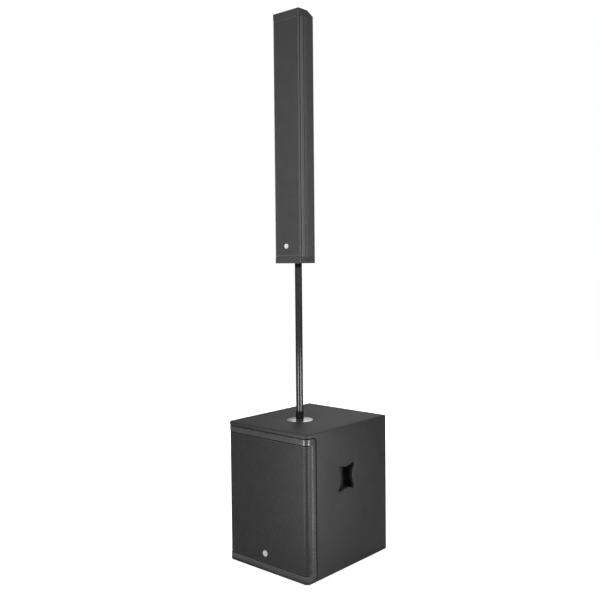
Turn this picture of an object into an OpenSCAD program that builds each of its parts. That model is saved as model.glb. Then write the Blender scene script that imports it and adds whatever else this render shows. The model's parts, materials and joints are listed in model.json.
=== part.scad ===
// Column PA system: a floor-standing bass-reflex subwoofer, a screw-in distance pole
// and a tapered column speaker that turns on the pole.
// The origin is on the floor at the centre of the cabinet's footprint, the grille faces -Y.

/* [Subwoofer cabinet] */
// Outside width of the subwoofer cabinet
cab_w = 516; // [506:1:560]
// Outside depth of the subwoofer cabinet
cab_d = 610; // [600:1:660]
// Height of the cabinet without its feet
cab_h = 690; // [684:1:740]
// Thickness of the plywood panels
panel_t = 18; // [16:1:18]
// Radius of the two front vertical corners
corner_r = 24; // [20:1:28]
// Height of the rubber feet
foot_h = 10; // [8:1:14]

/* [Front frame and grille] */
// Depth of the moulded front frame along the cabinet's sides
frame_depth = 63; // [58:1:70]
// Height of the frame's top bar
top_bar_h = 27; // [22:1:34]
// Height of the frame's bottom bar
bottom_bar_h = 26; // [20:1:32]
// How far the grille's edges wrap back along the sides
grille_wrap = 36; // [33:1:38]

/* [Side handles] */
// Width of the four-pointed handle opening
handle_w = 120; // [110:1:126]
// Height of the four-pointed handle opening
handle_h = 128; // [116:1:132]

/* [Woofer] */
// Outside diameter of the woofer's frame
woofer_d = 460; // [450:1:462]
// Travel of the cone each way
woofer_stroke = 8; // [4:1:9]
// Inside diameter of the two port tubes
port_d = 104; // [90:1:108]
// Length of the port tubes
port_len = 230; // [180:1:260]

/* [Pole] */
// Outside diameter of the pole
pole_d = 35; // [34:0.5:36]
// Length of pole between the cabinet and the column
pole_gap = 771; // [600:1:1000]
// Distance from the cabinet's centre forward to the pole's axis
pole_forward = 61; // [50:1:70]
// Diameter of the thread that screws into the cabinet
stud_d = 20; // [18:1:22]

/* [Column speaker] */
// Width of the column's front
col_w = 166; // [160:1:180]
// Depth of the column
col_d = 156; // [150:1:170]
// Height of the column
col_h = 1195; // [1190:1:1260]
// Depth of the straight part of the column's sides
col_straight = 63; // [60:1:70]
// Width of the column's back
col_back_w = 77; // [74:1:90]
// Height of the column's moulded end caps
cap_h = 30; // [26:1:34]
// Number of small woofers in the column
driver_count = 8; // [6:1:8]

/* [Hidden] */
$fn = 64;

// clearances
over = 1;               // how far a cutter passes a face
run_gap = 0.05;         // radial gap of a running fit
loose = 0.2;            // gap round a sliding or dropped-in piece

// cabinet
cab_top = foot_h + cab_h;
front_y = -cab_d / 2;
back_y = cab_d / 2;
side_x = cab_w / 2;
inner_w = cab_w - 2 * panel_t;
inner_h = cab_h - 2 * panel_t;
inner_z = foot_h + panel_t;
edge_cut = 3;           // chamfer on the top and bottom edges
seam = 5;               // open joint behind the front frame and above it

// front frame
frame_in = 1;           // step of the frame's faces inside the cabinet's faces
frame_wall = 12;
frame_r = 18;           // rounding of the frame's rear outer corners, seen from the side
frame_z = foot_h + 11;
frame_top = cab_top - panel_t - seam;
foot_end = 40;          // how far the inner flange stops short of the frame's ends
foot_depth = 15;
groove = 6;             // open groove between the grille's edge and the side post
grille_in = 2.5;
grille_t = 1.5;
lip_in = grille_in + grille_t;   // step of the lip that the grille's wrapped edges rest on
grille_gap = 4;
grille_z = frame_z + bottom_bar_h + grille_gap;
grille_top = frame_top - top_bar_h - grille_gap;
foam_t = 8;

// baffle and woofer
baffle_t = 22;
baffle_y = front_y + frame_depth + seam;
woofer_r = woofer_d / 2;
flange_t = 8;
woofer_z = cab_top - panel_t - woofer_r - 17;
woofer_y = baffle_y - flange_t;
basket_hole_r = woofer_r - 18;
cone_r = woofer_r - 40;
cone_s = 14;            // depth of the cone's rim behind the frame's face
neck_r = 50;
neck_s = 80;            // depth of the cone's neck
spider_s = 90;
spider_r = 103;
rear_ring_s = 112;      // depth of the frame's rear ring
rear_ring_r = 116;
rear_ring_t = 14;
motor_s = rear_ring_s + rear_ring_t;
front_plate_t = 8;
magnet_h = 24;
magnet_r = 108;
back_plate_t = 10;
coil_len = front_plate_t + 2 * woofer_stroke;
coil_s = motor_s + (front_plate_t - coil_len) / 2;
bolt_r = 3;
bolt_ring_r = woofer_r - 10.5;
bolt_count = 8;
port_r = port_d / 2;
port_wall = 4;
port_x = 130;
port_z = inner_z + 84;
brace_y = 120;

// rubber feet
foot_r = 20;
foot_well_r = 6;
foot_screw_r = 2;
foot_in_x = 58;
foot_in_y = 65;

// handle openings
handle_y = -17;
handle_z = cab_top - 250;
cup_depth = 62;
cup_wall = 3;
cup_room = 12;          // finger room behind the opening's edge
cup_flange = 14;
grip_bite_w = 16;       // how far the left and right edges curve in
grip_bite_h = 12;       // how far the top and bottom edges curve in
grip_tip_r = 11;        // rounding of each point
grip_blend = 0.05;      // how far the curved-in edges run into the rounded points

// pole socket and pole
pole_y = -pole_forward;
pole_r = pole_d / 2;
stud_r = stud_d / 2;
plate_r = 65;
plate_t = 4;
plate_up = 1;           // how far the plate stands above the cabinet
plate_top = cab_top + plate_up;
hub_r = 20;
hub_len = 46;
thread_len = 28;
socket_depth = 36;
screw_ring_r = 50;
screw_len = 17;
socket_screw_r = 2;
washer_t = 2;
collar_h = 41;
collar_end = 8;         // plain length at each end of the collar's grooves
tube_wall = 2;
spigot_len = 40;        // length of the plugs inside the tube's two ends
pole_z = plate_top + washer_t;
plug_visible = 20;
col_z = plate_top + pole_gap;
socket_len = 118;       // length of the plug inside the column
tube_z = pole_z + 3;
tube_top = col_z - plug_visible;
plug_top = col_z + socket_len;

// amplifier panel
amp_w = 250;
amp_h = 400;
amp_z = foot_h + 420;
pan_depth = 18;
sheet_t = 2;
rim = 12;
face_y = back_y - pan_depth;
board_gap = 25;         // from the board's face to the panel's face
board_t = 2;
board_y = face_y - board_gap - board_t;
knob_x = 30;
jack_x = [34, 90];
xlr_z = [amp_z + 165, amp_z + 122];
knob_z = amp_z + 78;
small_z = amp_z + 38;
speaker_z = amp_z - 8;
inlet_x = 62;
inlet_z = amp_z - 110;
inlet_w = 50;
inlet_h = 88;
rocker_z = inlet_z + 27;
rocker_r = 9;
rocker_w = 21;
rocker_tilt = 8;
pivot_r = 2;
fuse_z = inlet_z - 32;
fuse_w = 25;
fuse_h = 9;
lamp_r = 2.5;
lamp_pitch = 12;
shaft_r = 3;
button_r = 4;
jack_depth = 21;
jack_floor = 12;        // depth of the well inside a socket
jack_hole_r = 12;
amp_screw_r = 1.5;
amp_screw_head_r = 3.5;
amp_screw_len = 16;

// column
col_y = pole_y - col_d / 2 + 2;
col_top = col_z + col_h;
col_corner = 5;
taper_len = col_d - col_straight;
taper_a = atan((col_w - col_back_w) / 2 / taper_len);
col_wall = 4;
col_seam = 1.5;
rail_y0 = 12;
rail_y1 = 36;
rail_in = 1;
col_grille_in = 1;
col_grille_t = 1.2;
col_grille_wrap = 6;
col_baffle_y = 30;
col_baffle_t = 12;
col_baffle_w = col_w - 16;
driver_pitch = 108;
driver_r = 52;
driver_flange_t = 4;
driver_back = 36;       // depth of a driver's frame
driver_cone_r = 39;
driver_coil_r = 12.6;
driver_z0 = col_z + 190;
horn_w = 118;
horn_h = 130;
horn_z = driver_z0 + (driver_count - 1) * driver_pitch + driver_r + horn_h / 2 + 6;
throat_r = 12.5;
throat_y = 74;
jack_plate_w = 58;
jack_plate_h = 120;
jack_plate_z = col_z + 118;
jack_flange = 4;
jack_pan_w = jack_plate_w - 2 * jack_flange;
jack_pan_h = jack_plate_h - 2 * jack_flange;
jack_pan_depth = 14;
jack_spread = 26;       // from the plate's middle to each socket

// ---- shared shapes ----

// plan of the cabinet with rounded front corners, drawn in by g
module cab_plan(g = 0) {
    half = side_x - g;
    r = corner_r - g;
    translate([-half, front_y + corner_r]) square([2 * half, cab_d - corner_r - g]);
    translate([-half + r, front_y + g]) square([2 * (half - r), r + over]);
    for (s = [-1, 1]) translate([s * (half - r), front_y + corner_r]) circle(r);
}

// strip round the cabinet's front, from face inset g0 to inset g1 and from depth d0 to d1
module front_band(g0, g1, d0, d1) {
    difference() {
        intersection() {
            cab_plan(g0);
            translate([-side_x, front_y + d0]) square([cab_w, d1 - d0]);
        }
        cab_plan(g1);
    }
}

// plan of the column, front corners rounded and sides tapered, drawn in by g
module col_plan(g = 0) {
    half = col_w / 2 - g;
    r = col_corner - min(g, col_corner - 1);
    bend = col_straight - g * tan(taper_a / 2);
    back = col_back_w / 2 + g * tan(taper_a) - g / cos(taper_a);
    translate([0, col_y]) {
        translate([-half, g + r]) square([2 * half, bend - g - r]);
        translate([-half + r, g]) square([2 * (half - r), r + over]);
        for (s = [-1, 1]) translate([s * (half - r), g + r]) circle(r);
        polygon([[-half, bend], [half, bend], [back, col_d - g], [-back, col_d - g]]);
    }
}

// places a piece drawn along +Z so that it points to the back, +Y
module facing_back(x, y, z) {
    translate([x, y, z]) rotate([-90, 0, 0]) children();
}

// ring of r0 to r1, from z0 to z1
module ring(r0, r1, z0, z1) {
    translate([0, 0, z0]) difference() {
        cylinder(r = r1, h = z1 - z0);
        translate([0, 0, -over]) cylinder(r = r0, h = z1 - z0 + 2 * over);
    }
}

// box by its lowest and highest corners
module block(lo, hi) {
    translate(lo) cube(hi - lo);
}

// countersunk screw, its head's face at z = 0 and its point down
module flat_screw(head_r, shank_r, len) {
    difference() {
        union() {
            translate([0, 0, -head_r + shank_r]) cylinder(r1 = shank_r, r2 = head_r, h = head_r - shank_r);
            translate([0, 0, -len]) cylinder(r = shank_r, h = len - head_r + shank_r);
        }
        for (a = [0, 90]) rotate(a) translate([-head_r * 0.6, -0.5, -1.4]) cube([head_r * 1.2, 1, 2]);
    }
}

// hole that a countersunk screw drops into
module flat_screw_hole(head_r, shank_r, len) {
    translate([0, 0, -head_r + shank_r - loose]) {
        cylinder(r1 = shank_r + loose, r2 = head_r + 2 * loose, h = head_r - shank_r + loose + 0.01);
    }
    translate([0, 0, -len - over]) cylinder(r = shank_r + loose, h = len + over);
    cylinder(r = head_r + 2 * loose, h = over);
}

// the places of the bolts round the woofer's frame
module round_the_woofer() {
    for (i = [0 : bolt_count - 1]) {
        rotate((i + 0.5) * 360 / bolt_count) translate([bolt_ring_r, 0, 0]) children();
    }
}

module at_woofer() {
    facing_back(0, woofer_y, woofer_z) children();
}

// ---- subwoofer cabinet ----

// outline of the four-pointed handle opening: its edges curve in, its points are round
module grip_outline() {
    half_w = handle_w / 2 - grip_tip_r;
    half_h = handle_h / 2 - grip_tip_r;
    rx = arc_radius(half_h, grip_bite_w) - grip_tip_r;
    rz = arc_radius(half_w, grip_bite_h) - grip_tip_r;
    far_x = half_w + grip_tip_r - grip_bite_w + rx;
    far_z = half_h + grip_tip_r - grip_bite_h + rz;
    // where the curved-in edges meet the rounding of the upper right point
    side_w = half_w + grip_tip_r * (far_x - half_w) / (rx + grip_tip_r);
    side_h = half_h - grip_tip_r * half_h / (rx + grip_tip_r);
    end_w = half_w - grip_tip_r * half_w / (rz + grip_tip_r);
    end_h = half_h + grip_tip_r * (far_z - half_h) / (rz + grip_tip_r);
    difference() {
        polygon([
            [side_w, side_h], [end_w, end_h], [-end_w, end_h], [-side_w, side_h],
            [-side_w, -side_h], [-end_w, -end_h], [end_w, -end_h], [side_w, -side_h]
        ]);
        for (s = [-1, 1]) {
            translate([s * far_x, 0]) circle(rx + grip_blend, $fn = 128);
            translate([0, s * far_z]) circle(rz + grip_blend, $fn = 128);
        }
    }
    for (x = [-1, 1], z = [-1, 1]) translate([x * half_w, z * half_h]) circle(grip_tip_r);
}

// radius of an arc with this half chord and this rise
function arc_radius(half, rise) = (half * half + rise * rise) / (2 * rise);

// side view of the front frame, grown by g at the back and the top
module frame_profile(g) {
    r = frame_r + g;
    depth = frame_depth + g;
    height = frame_top - frame_z + g;
    translate([front_y, frame_z]) {
        translate([-over, 0]) square([depth - r + over, height]);
        translate([0, r]) square([depth, height - 2 * r]);
        for (z = [r, height - r]) translate([depth - r, z]) circle(r);
    }
}

// turns a side view drawn in Y and Z into a prism across the cabinet
module across(w) {
    translate([-w / 2, 0, 0]) rotate([90, 0, 90]) linear_extrude(w) children();
}

module cabinet_shell() {
    color("#3c3c3d") difference() {
        translate([0, 0, foot_h]) linear_extrude(cab_h) cab_plan();
        block([-inner_w / 2, front_y - over, inner_z],
              [inner_w / 2, back_y + over, inner_z + inner_h]);
        across(cab_w + 2 * over) frame_profile(seam);
        for (s = [-1, 1]) {
            translate([s * side_x, handle_y, handle_z]) rotate([90, 0, 90]) {
                linear_extrude(3 * panel_t, center = true) grip_outline();
            }
        }
        socket_seat();
        foot_places() translate([0, 0, foot_h - over]) {
            cylinder(r = foot_screw_r + loose, h = panel_t - over);
        }
        for (s = [-1, 1], z = [foot_h, cab_top]) {
            translate([s * side_x, 0, z]) rotate([0, 45, 0]) {
                cube([edge_cut * sqrt(2), cab_d + 2 * over, edge_cut * sqrt(2)], center = true);
            }
            translate([0, s * cab_d / 2, z]) rotate([45, 0, 0]) {
                cube([cab_w + 2 * over, edge_cut * sqrt(2), edge_cut * sqrt(2)], center = true);
            }
        }
    }
}

// recess and hole in the top panel for the pole socket
module socket_seat() {
    translate([0, pole_y, 0]) {
        translate([0, 0, plate_top - plate_t]) cylinder(r = plate_r + loose, h = plate_t);
        translate([0, 0, cab_top - 2 * panel_t]) cylinder(r = hub_r + loose, h = 2 * panel_t);
        for (a = [45 : 90 : 315]) rotate(a) {
            translate([screw_ring_r, 0, cab_top - screw_len]) {
                cylinder(r = socket_screw_r + loose, h = screw_len);
            }
        }
    }
}

module rear_panel() {
    color("#3c3c3d") difference() {
        block([-inner_w / 2, back_y - panel_t, inner_z], [inner_w / 2, back_y, inner_z + inner_h]);
        translate([0, 0, amp_z]) {
            cube([amp_w + 4 + 2 * loose, 3 * cab_d, amp_h + 4 + 2 * loose], center = true);
            translate([0, back_y, 0]) {
                cube([amp_w + 2 * (rim + loose), 2 * sheet_t, amp_h + 2 * (rim + loose)], center = true);
            }
        }
        amp_screw_places() translate([0, 0, -amp_screw_len - over]) {
            cylinder(r = amp_screw_r + loose, h = amp_screw_len + over);
        }
    }
}

module baffle() {
    color("#2b2b2b") difference() {
        block([-inner_w / 2, baffle_y, inner_z], [inner_w / 2, baffle_y + baffle_t, inner_z + inner_h]);
        at_woofer() {
            cylinder(r = basket_hole_r, h = 3 * baffle_t);
            round_the_woofer() cylinder(r = bolt_r + loose, h = 3 * baffle_t);
        }
        port_places() cylinder(r = port_r + port_wall + loose, h = 3 * baffle_t, center = true);
    }
}

module window_brace() {
    win_w = inner_w / 2 - 45;
    win_h = inner_h / 3 - 45;
    color("#b99b6b") difference() {
        block([-inner_w / 2, brace_y, inner_z], [inner_w / 2, brace_y + panel_t, inner_z + inner_h]);
        for (s = [-1, 1], i = [-1 : 1]) {
            translate([s * inner_w / 4, brace_y + panel_t / 2, inner_z + inner_h / 2 + i * inner_h / 3]) {
                cube([win_w, 2 * panel_t, win_h], center = true);
            }
        }
    }
}

module front_frame() {
    post_top = frame_top - top_bar_h;
    color("#58585a") {
        intersection() {
            union() {
                translate([0, 0, frame_z]) linear_extrude(bottom_bar_h) frame_bar();
                translate([0, 0, post_top]) linear_extrude(top_bar_h) frame_bar();
                frame_posts(grille_wrap + groove, frame_in);
                frame_posts(corner_r, lip_in);
                for (s = [-1, 1]) mirror_x(s) frame_foot();
            }
            across(cab_w) frame_profile_to(seam);
        }
    }
}

// mirrors its children when s is negative
module mirror_x(s) {
    mirror([s < 0 ? 1 : 0, 0, 0]) children();
}

// one of the frame's bars in plan
module frame_bar() {
    front_band(frame_in, frame_in + frame_wall, 0, frame_depth);
}

// upright strips of the frame at both sides, from depth d0 to the frame's back
module frame_posts(d0, g) {
    translate([0, 0, frame_z]) linear_extrude(frame_top - frame_z) {
        front_band(g, frame_in + frame_wall, d0, frame_depth);
    }
}

// inner flange that stands on the baffle
module frame_foot() {
    block([woofer_r + 1, baffle_y - foot_depth, frame_z + foot_end],
          [side_x - frame_in - frame_wall, baffle_y, frame_top - foot_end]);
}

// side view of the frame itself, its inner flange reaching back by g
module frame_profile_to(g) {
    frame_profile(0);
    translate([front_y, frame_z + foot_end]) {
        square([frame_depth + g, frame_top - frame_z - 2 * foot_end]);
    }
}

module sub_grille() {
    color("#2c2c2d") translate([0, 0, grille_z]) linear_extrude(grille_top - grille_z) {
        front_band(grille_in, grille_in + grille_t, 0, grille_wrap);
    }
}

module sub_grille_foam() {
    face = front_y + grille_in + grille_t + 1;
    color("#1b1b1b") block([corner_r - side_x, face, grille_z + 1],
                           [side_x - corner_r, face + foam_t, grille_top - 1]);
}

// plain round badge on a grille's face, its back at y
module round_badge(x, y, z, r) {
    translate([x, y, z]) rotate([90, 0, 0]) {
        cylinder(r = r, h = 1.6);
        translate([0, 0, 1.6]) cylinder(r1 = r, r2 = r - 1, h = 1);
    }
}

module sub_badge() {
    color("#dcdcdc") round_badge(-12, front_y + grille_in, foot_h + 85, 15);
}

// ---- woofer, drawn with its face at z = 0 and its depth along +Z ----

module woofer_basket() {
    leg_w = 26;
    leg_end = rear_ring_r - 24;
    leg = [
        [basket_hole_r - 5, flange_t - 3], [basket_hole_r - 1, flange_t - 3], [basket_hole_r - 3, 40],
        [rear_ring_r - 8, rear_ring_s + 8], [leg_end, rear_ring_s + 8], [leg_end, rear_ring_s + 4],
        [rear_ring_r - 10, rear_ring_s - 4], [basket_hole_r - 12, 38]
    ];
    color("#4a4a4c") at_woofer() difference() {
        union() {
            ring(basket_hole_r - 9, woofer_r, 0, flange_t);
            ring(neck_r + 12, rear_ring_r, rear_ring_s, motor_s);
            ring(spider_r - 5, spider_r, spider_s + 2, rear_ring_s + 1);
            for (a = [0 : 45 : 315]) rotate(a) rotate([90, 0, 0]) {
                linear_extrude(leg_w, center = true) polygon(leg);
            }
        }
        round_the_woofer() translate([0, 0, -over]) cylinder(r = bolt_r + loose, h = 2 * flange_t);
    }
}

module woofer_magnet() {
    magnet_s = motor_s + front_plate_t;
    back_s = magnet_s + magnet_h;
    core_s = motor_s - 2;
    vent_r = 18;
    color("#2a2a2c") at_woofer() {
        ring(neck_r + 3, magnet_r - 8, motor_s, magnet_s);
        ring(neck_r + 12, magnet_r, magnet_s, back_s);
        difference() {
            union() {
                translate([0, 0, back_s]) cylinder(r = magnet_r - 6, h = back_plate_t);
                translate([0, 0, core_s]) cylinder(r = neck_r - 1.5, h = back_s - core_s + over);
            }
            translate([0, 0, core_s - over]) {
                cylinder(r = vent_r, h = back_s + back_plate_t - core_s + 2 * over);
            }
        }
    }
}

module woofer_surround() {
    cloth = 1.2;
    roll_r = (basket_hole_r - 9 - cone_r) / 2;
    color("#202020") at_woofer() rotate_extrude() half_roll(cone_r + roll_r, cone_s - 2, roll_r, cloth);
}

// section of a half-round roll that bulges towards the front
module half_roll(mid, s, r, t) {
    difference() {
        translate([mid, s]) circle(r);
        translate([mid, s]) circle(r - t);
        translate([mid - 2 * r, s]) square([4 * r, 2 * r]);
    }
}

module woofer_cone() {
    t = 2;
    color("#262626") at_woofer() rotate_extrude() {
        polygon([
            [neck_r + t, neck_s], [cone_r, cone_s], [cone_r, cone_s - t],
            [cone_r - t, cone_s - t], [neck_r + 0.5, neck_s - t], [neck_r + 0.5, neck_s]
        ]);
    }
}

module woofer_dust_cap() {
    overlap = 12;
    cap_r = neck_r + overlap;
    rise = 18;
    ball = arc_radius(cap_r, rise);
    rim_s = neck_s - overlap * (neck_s - cone_s) / (cone_r - neck_r) - 3.5;
    color("#1f1f20") at_woofer() rotate_extrude() intersection() {
        translate([0, rim_s - rise - over]) square([cap_r, rise + over]);
        translate([0, rim_s - rise + ball]) difference() {
            circle(ball, $fn = 128);
            circle(ball - 1, $fn = 128);
        }
    }
}

module voice_coil() {
    color("#b87333") at_woofer() {
        ring(neck_r - 0.2, neck_r + 0.3, neck_s - 8, coil_s + coil_len + 2);
        ring(neck_r + 0.3, neck_r + 1.6, coil_s, coil_s + coil_len);
    }
}

module woofer_spider() {
    color("#c9a15a") at_woofer() ring(neck_r + 0.4, spider_r, spider_s, spider_s + 2);
}

module woofer_bolts() {
    head_h = 6;
    head_r = 5;
    key_r = 2.9;
    color("#1c1c1c") at_woofer() round_the_woofer() difference() {
        union() {
            translate([0, 0, -head_h]) cylinder(r = head_r, h = head_h);
            cylinder(r = bolt_r, h = flange_t + baffle_t - 2);
        }
        translate([0, 0, -head_h - over]) cylinder(r = key_r, h = head_h / 2 + over, $fn = 6);
    }
}

module port_places() {
    for (s = [-1, 1]) facing_back(s * port_x, baffle_y, port_z) children();
}

module port_tubes() {
    lip = 11;
    color("#1e1e1f") port_places() rotate_extrude() difference() {
        union() {
            translate([port_r, -3]) square([port_wall, port_len]);
            translate([port_r, -3]) square([lip, 3]);
        }
        translate([port_r - 1, -5]) rotate(45) square([5, 2.5]);
    }
}

module handle_cups() {
    w = handle_w + 2 * cup_room;
    h = handle_h + 2 * cup_room;
    color("#161617") for (s = [-1, 1]) mirror_x(s) difference() {
        translate([inner_w / 2, handle_y, handle_z]) {
            block([-cup_wall, -w / 2 - cup_flange, -h / 2 - cup_flange],
                  [0, w / 2 + cup_flange, h / 2 + cup_flange]);
            block([-cup_depth, -w / 2 - cup_wall, -h / 2 - cup_wall],
                  [-cup_wall, w / 2 + cup_wall, h / 2 + cup_wall]);
        }
        translate([inner_w / 2, handle_y, handle_z]) {
            block([-cup_depth + cup_wall, -w / 2, -h / 2], [over, w / 2, h / 2]);
        }
    }
}

module pole_socket() {
    color("#b4b4b6") translate([0, pole_y, plate_top]) difference() {
        union() {
            translate([0, 0, -1]) cylinder(r1 = plate_r, r2 = plate_r - 1, h = 1);
            translate([0, 0, -plate_t]) cylinder(r = plate_r, h = plate_t - 1);
            translate([0, 0, -hub_len]) cylinder(r = hub_r, h = hub_len - 1);
        }
        translate([0, 0, -socket_depth]) cylinder(r = stud_r, h = socket_depth + over);
        for (a = [45 : 90 : 315]) rotate(a) translate([screw_ring_r, 0, 0]) {
            flat_screw_hole(5, socket_screw_r, plate_t + over);
        }
    }
}

module socket_screws() {
    color("#8f8f92") translate([0, pole_y, plate_top]) {
        for (a = [45 : 90 : 315]) rotate(a) translate([screw_ring_r, 0, 0]) {
            flat_screw(5, socket_screw_r, screw_len);
        }
    }
}

module foot_places() {
    for (x = [-1, 1], y = [-1, 1]) {
        translate([x * (side_x - foot_in_x), y * (back_y - foot_in_y), 0]) children();
    }
}

module rubber_feet() {
    color("#111111") foot_places() difference() {
        cylinder(r1 = foot_r - 3, r2 = foot_r, h = foot_h);
        translate([0, 0, -over]) cylinder(r = foot_well_r, h = foot_h / 2 + over);
        cylinder(r = foot_screw_r + loose, h = foot_h + over);
    }
}

module foot_screws() {
    color("#8a8a8a") foot_places() difference() {
        union() {
            translate([0, 0, foot_h / 2 - 3]) cylinder(r = foot_well_r - 1.5, h = 3);
            translate([0, 0, foot_h / 2]) cylinder(r = foot_screw_r, h = foot_h / 2 + 12);
        }
        for (a = [0, 90]) rotate(a) block([-2.6, -0.5, 0], [2.6, 0.5, foot_h / 2 - 1.6]);
    }
}

// ---- amplifier panel at the back ----

module amp_screw_places() {
    half_w = amp_w / 2 + rim - 5;
    half_h = amp_h / 2 + rim - 5;
    translate([0, back_y, amp_z]) {
        for (x = [-1 : 1], z = [-1, 1]) {
            translate([x * half_w, 0, z * half_h]) rotate([-90, 0, 0]) children();
        }
        for (x = [-1, 1], z = [-0.5 : 0.5 : 0.5]) {
            translate([x * half_w, 0, z * half_h]) rotate([-90, 0, 0]) children();
        }
    }
}

module xlr_places() {
    for (x = jack_x, z = xlr_z) facing_back(x, face_y, z) children();
}

module speaker_places() {
    for (x = jack_x) facing_back(x, face_y, speaker_z) children();
}

module light_places() {
    for (i = [-1 : 1]) facing_back(inlet_x, face_y, small_z + i * lamp_pitch) children();
}

module button_place() {
    facing_back(jack_x[1], face_y, small_z) children();
}

// axes of the two level knobs and the crossover knob
module control_places() {
    for (p = [[knob_x, knob_z], [jack_x[1], knob_z], [knob_x, small_z]]) {
        facing_back(p[0], face_y, p[1]) children();
    }
}

// cuts for the power socket module
module inlet_cut(gap) {
    translate([inlet_x, face_y, inlet_z]) {
        cube([inlet_w - 4 + 2 * gap, 8 * sheet_t, inlet_h - 4 + 2 * gap], center = true);
    }
}

module amp_plate() {
    color("#1d1d1e") difference() {
        union() {
            translate([0, back_y - sheet_t / 2, amp_z]) {
                cube([amp_w + 2 * rim, sheet_t, amp_h + 2 * rim], center = true);
            }
            block([-amp_w / 2 - 2, face_y - sheet_t, amp_z - amp_h / 2 - 2],
                  [amp_w / 2 + 2, back_y - sheet_t, amp_z + amp_h / 2 + 2]);
        }
        block([-amp_w / 2, face_y, amp_z - amp_h / 2], [amp_w / 2, back_y + over, amp_z + amp_h / 2]);
        xlr_places() cylinder(r = jack_hole_r, h = 6 * sheet_t, center = true);
        speaker_places() cylinder(r = jack_hole_r, h = 6 * sheet_t, center = true);
        light_places() cylinder(r = lamp_r + loose, h = 6 * sheet_t, center = true);
        control_places() cylinder(r = shaft_r + run_gap, h = 6 * sheet_t, center = true);
        button_place() cylinder(r = button_r + run_gap, h = 6 * sheet_t, center = true);
        inlet_cut(loose);
        amp_screw_places() flat_screw_hole(amp_screw_head_r, amp_screw_r, 2 * sheet_t);
    }
}

module heatsink() {
    x0 = -amp_w / 2 + 10;
    x1 = -12;
    z0 = amp_z - amp_h / 2 + 12;
    z1 = amp_z + amp_h / 2 - 12;
    root_t = 3;
    fin_t = 2.4;
    pitch = 8.6;
    fins = floor((x1 - x0) / pitch);
    color("#202022") {
        block([x0, face_y, z0], [x1, face_y + root_t, z1]);
        for (i = [0 : fins]) {
            x = x0 + i * (x1 - x0 - fin_t) / fins;
            block([x, face_y + root_t, z0], [x + fin_t, back_y - fin_t, z1]);
        }
    }
}

module amp_board() {
    half_w = amp_w / 2 - 8;
    half_h = amp_h / 2 - 10;
    control_r = 8;
    control_len = 18;
    cap_r = 14;
    cap_len = 40;
    choke_r = 18;
    choke_len = 22;
    chip_w = 16;
    chip_h = 12;
    chip_pitch = 26;
    color("#1f5b3a") difference() {
        union() {
            block([-half_w, board_y, amp_z - half_h], [half_w, board_y + board_t, amp_z + half_h]);
            // bodies of the three controls and of the button's switch
            control_places() translate([0, 0, -board_gap]) cylinder(r = control_r, h = control_len);
            button_place() translate([0, 0, -board_gap]) cylinder(r = button_r + 1, h = control_len / 2);
            // reservoir capacitors and output chokes
            for (i = [0 : 3]) {
                facing_back(-90 + 34 * i, board_y - cap_len, amp_z + 120) cylinder(r = cap_r, h = cap_len);
            }
            for (i = [0 : 1]) {
                facing_back(-70 + 60 * i, board_y - choke_len, amp_z + 60) {
                    cylinder(r = choke_r, h = choke_len);
                }
            }
            // power devices, reaching to the inside of the panel behind the heatsink
            for (i = [0 : 5]) {
                translate([-104, board_y + board_t, amp_z - 20 + i * chip_pitch]) {
                    cube([chip_w, board_gap - sheet_t, chip_h]);
                }
            }
        }
        control_places() translate([0, 0, 6 - board_gap]) cylinder(r = shaft_r + run_gap, h = control_len);
    }
}

module power_transformer() {
    core_r = 54;
    core_h = 42;
    dish_t = 4;
    bolt_len = 52;
    color("#a8682c") facing_back(-10, board_y - bolt_len, amp_z - 110) {
        ring(core_r - 40, core_r, dish_t, dish_t + core_h);
        cylinder(r = core_r - 4, h = dish_t);
        cylinder(r = 3.5, h = bolt_len);
    }
}

// square-flanged round chassis socket with its face towards +Z
module chassis_socket(bore_r) {
    body_r = jack_hole_r - 0.5;
    difference() {
        union() {
            translate([0, 0, 1]) cube([26, 31, 2], center = true);
            translate([0, 0, 2]) cylinder(r = body_r + 0.3, h = 3);
            translate([0, 0, -jack_depth]) cylinder(r = body_r, h = jack_depth);
        }
        translate([0, 0, -jack_floor]) cylinder(r = bore_r, h = jack_floor + 8);
        for (s = [-1, 1]) translate([s * 9.5, -s * 12, -over]) cylinder(r = 1.6, h = 6);
    }
}

// three-pole signal socket with its insert
module signal_socket() {
    insert_h = 10;
    chassis_socket(9);
    difference() {
        translate([0, 0, -jack_floor - 1]) cylinder(r = 7.4, h = insert_h + 1);
        for (a = [90, 210, 330]) rotate(a) translate([4.2, 0, insert_h - jack_floor - 6]) {
            cylinder(r = 1.2, h = 8);
        }
    }
}

// locking loudspeaker socket: a well round a centre post with a keyway
module speaker_socket() {
    post_h = 14;
    chassis_socket(9.8);
    difference() {
        translate([0, 0, -jack_floor - 1]) cylinder(r = 6.2, h = post_h + 1);
        translate([3.9, -1.2, -jack_floor]) cube([3, 2.4, post_h + over]);
        translate([0, 0, -4]) cylinder(r = 3, h = 8);
    }
}

module xlr_sockets() {
    color("#2b2b2d") xlr_places() signal_socket();
}

module speaker_sockets() {
    color("#26272b") speaker_places() speaker_socket();
}

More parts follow.
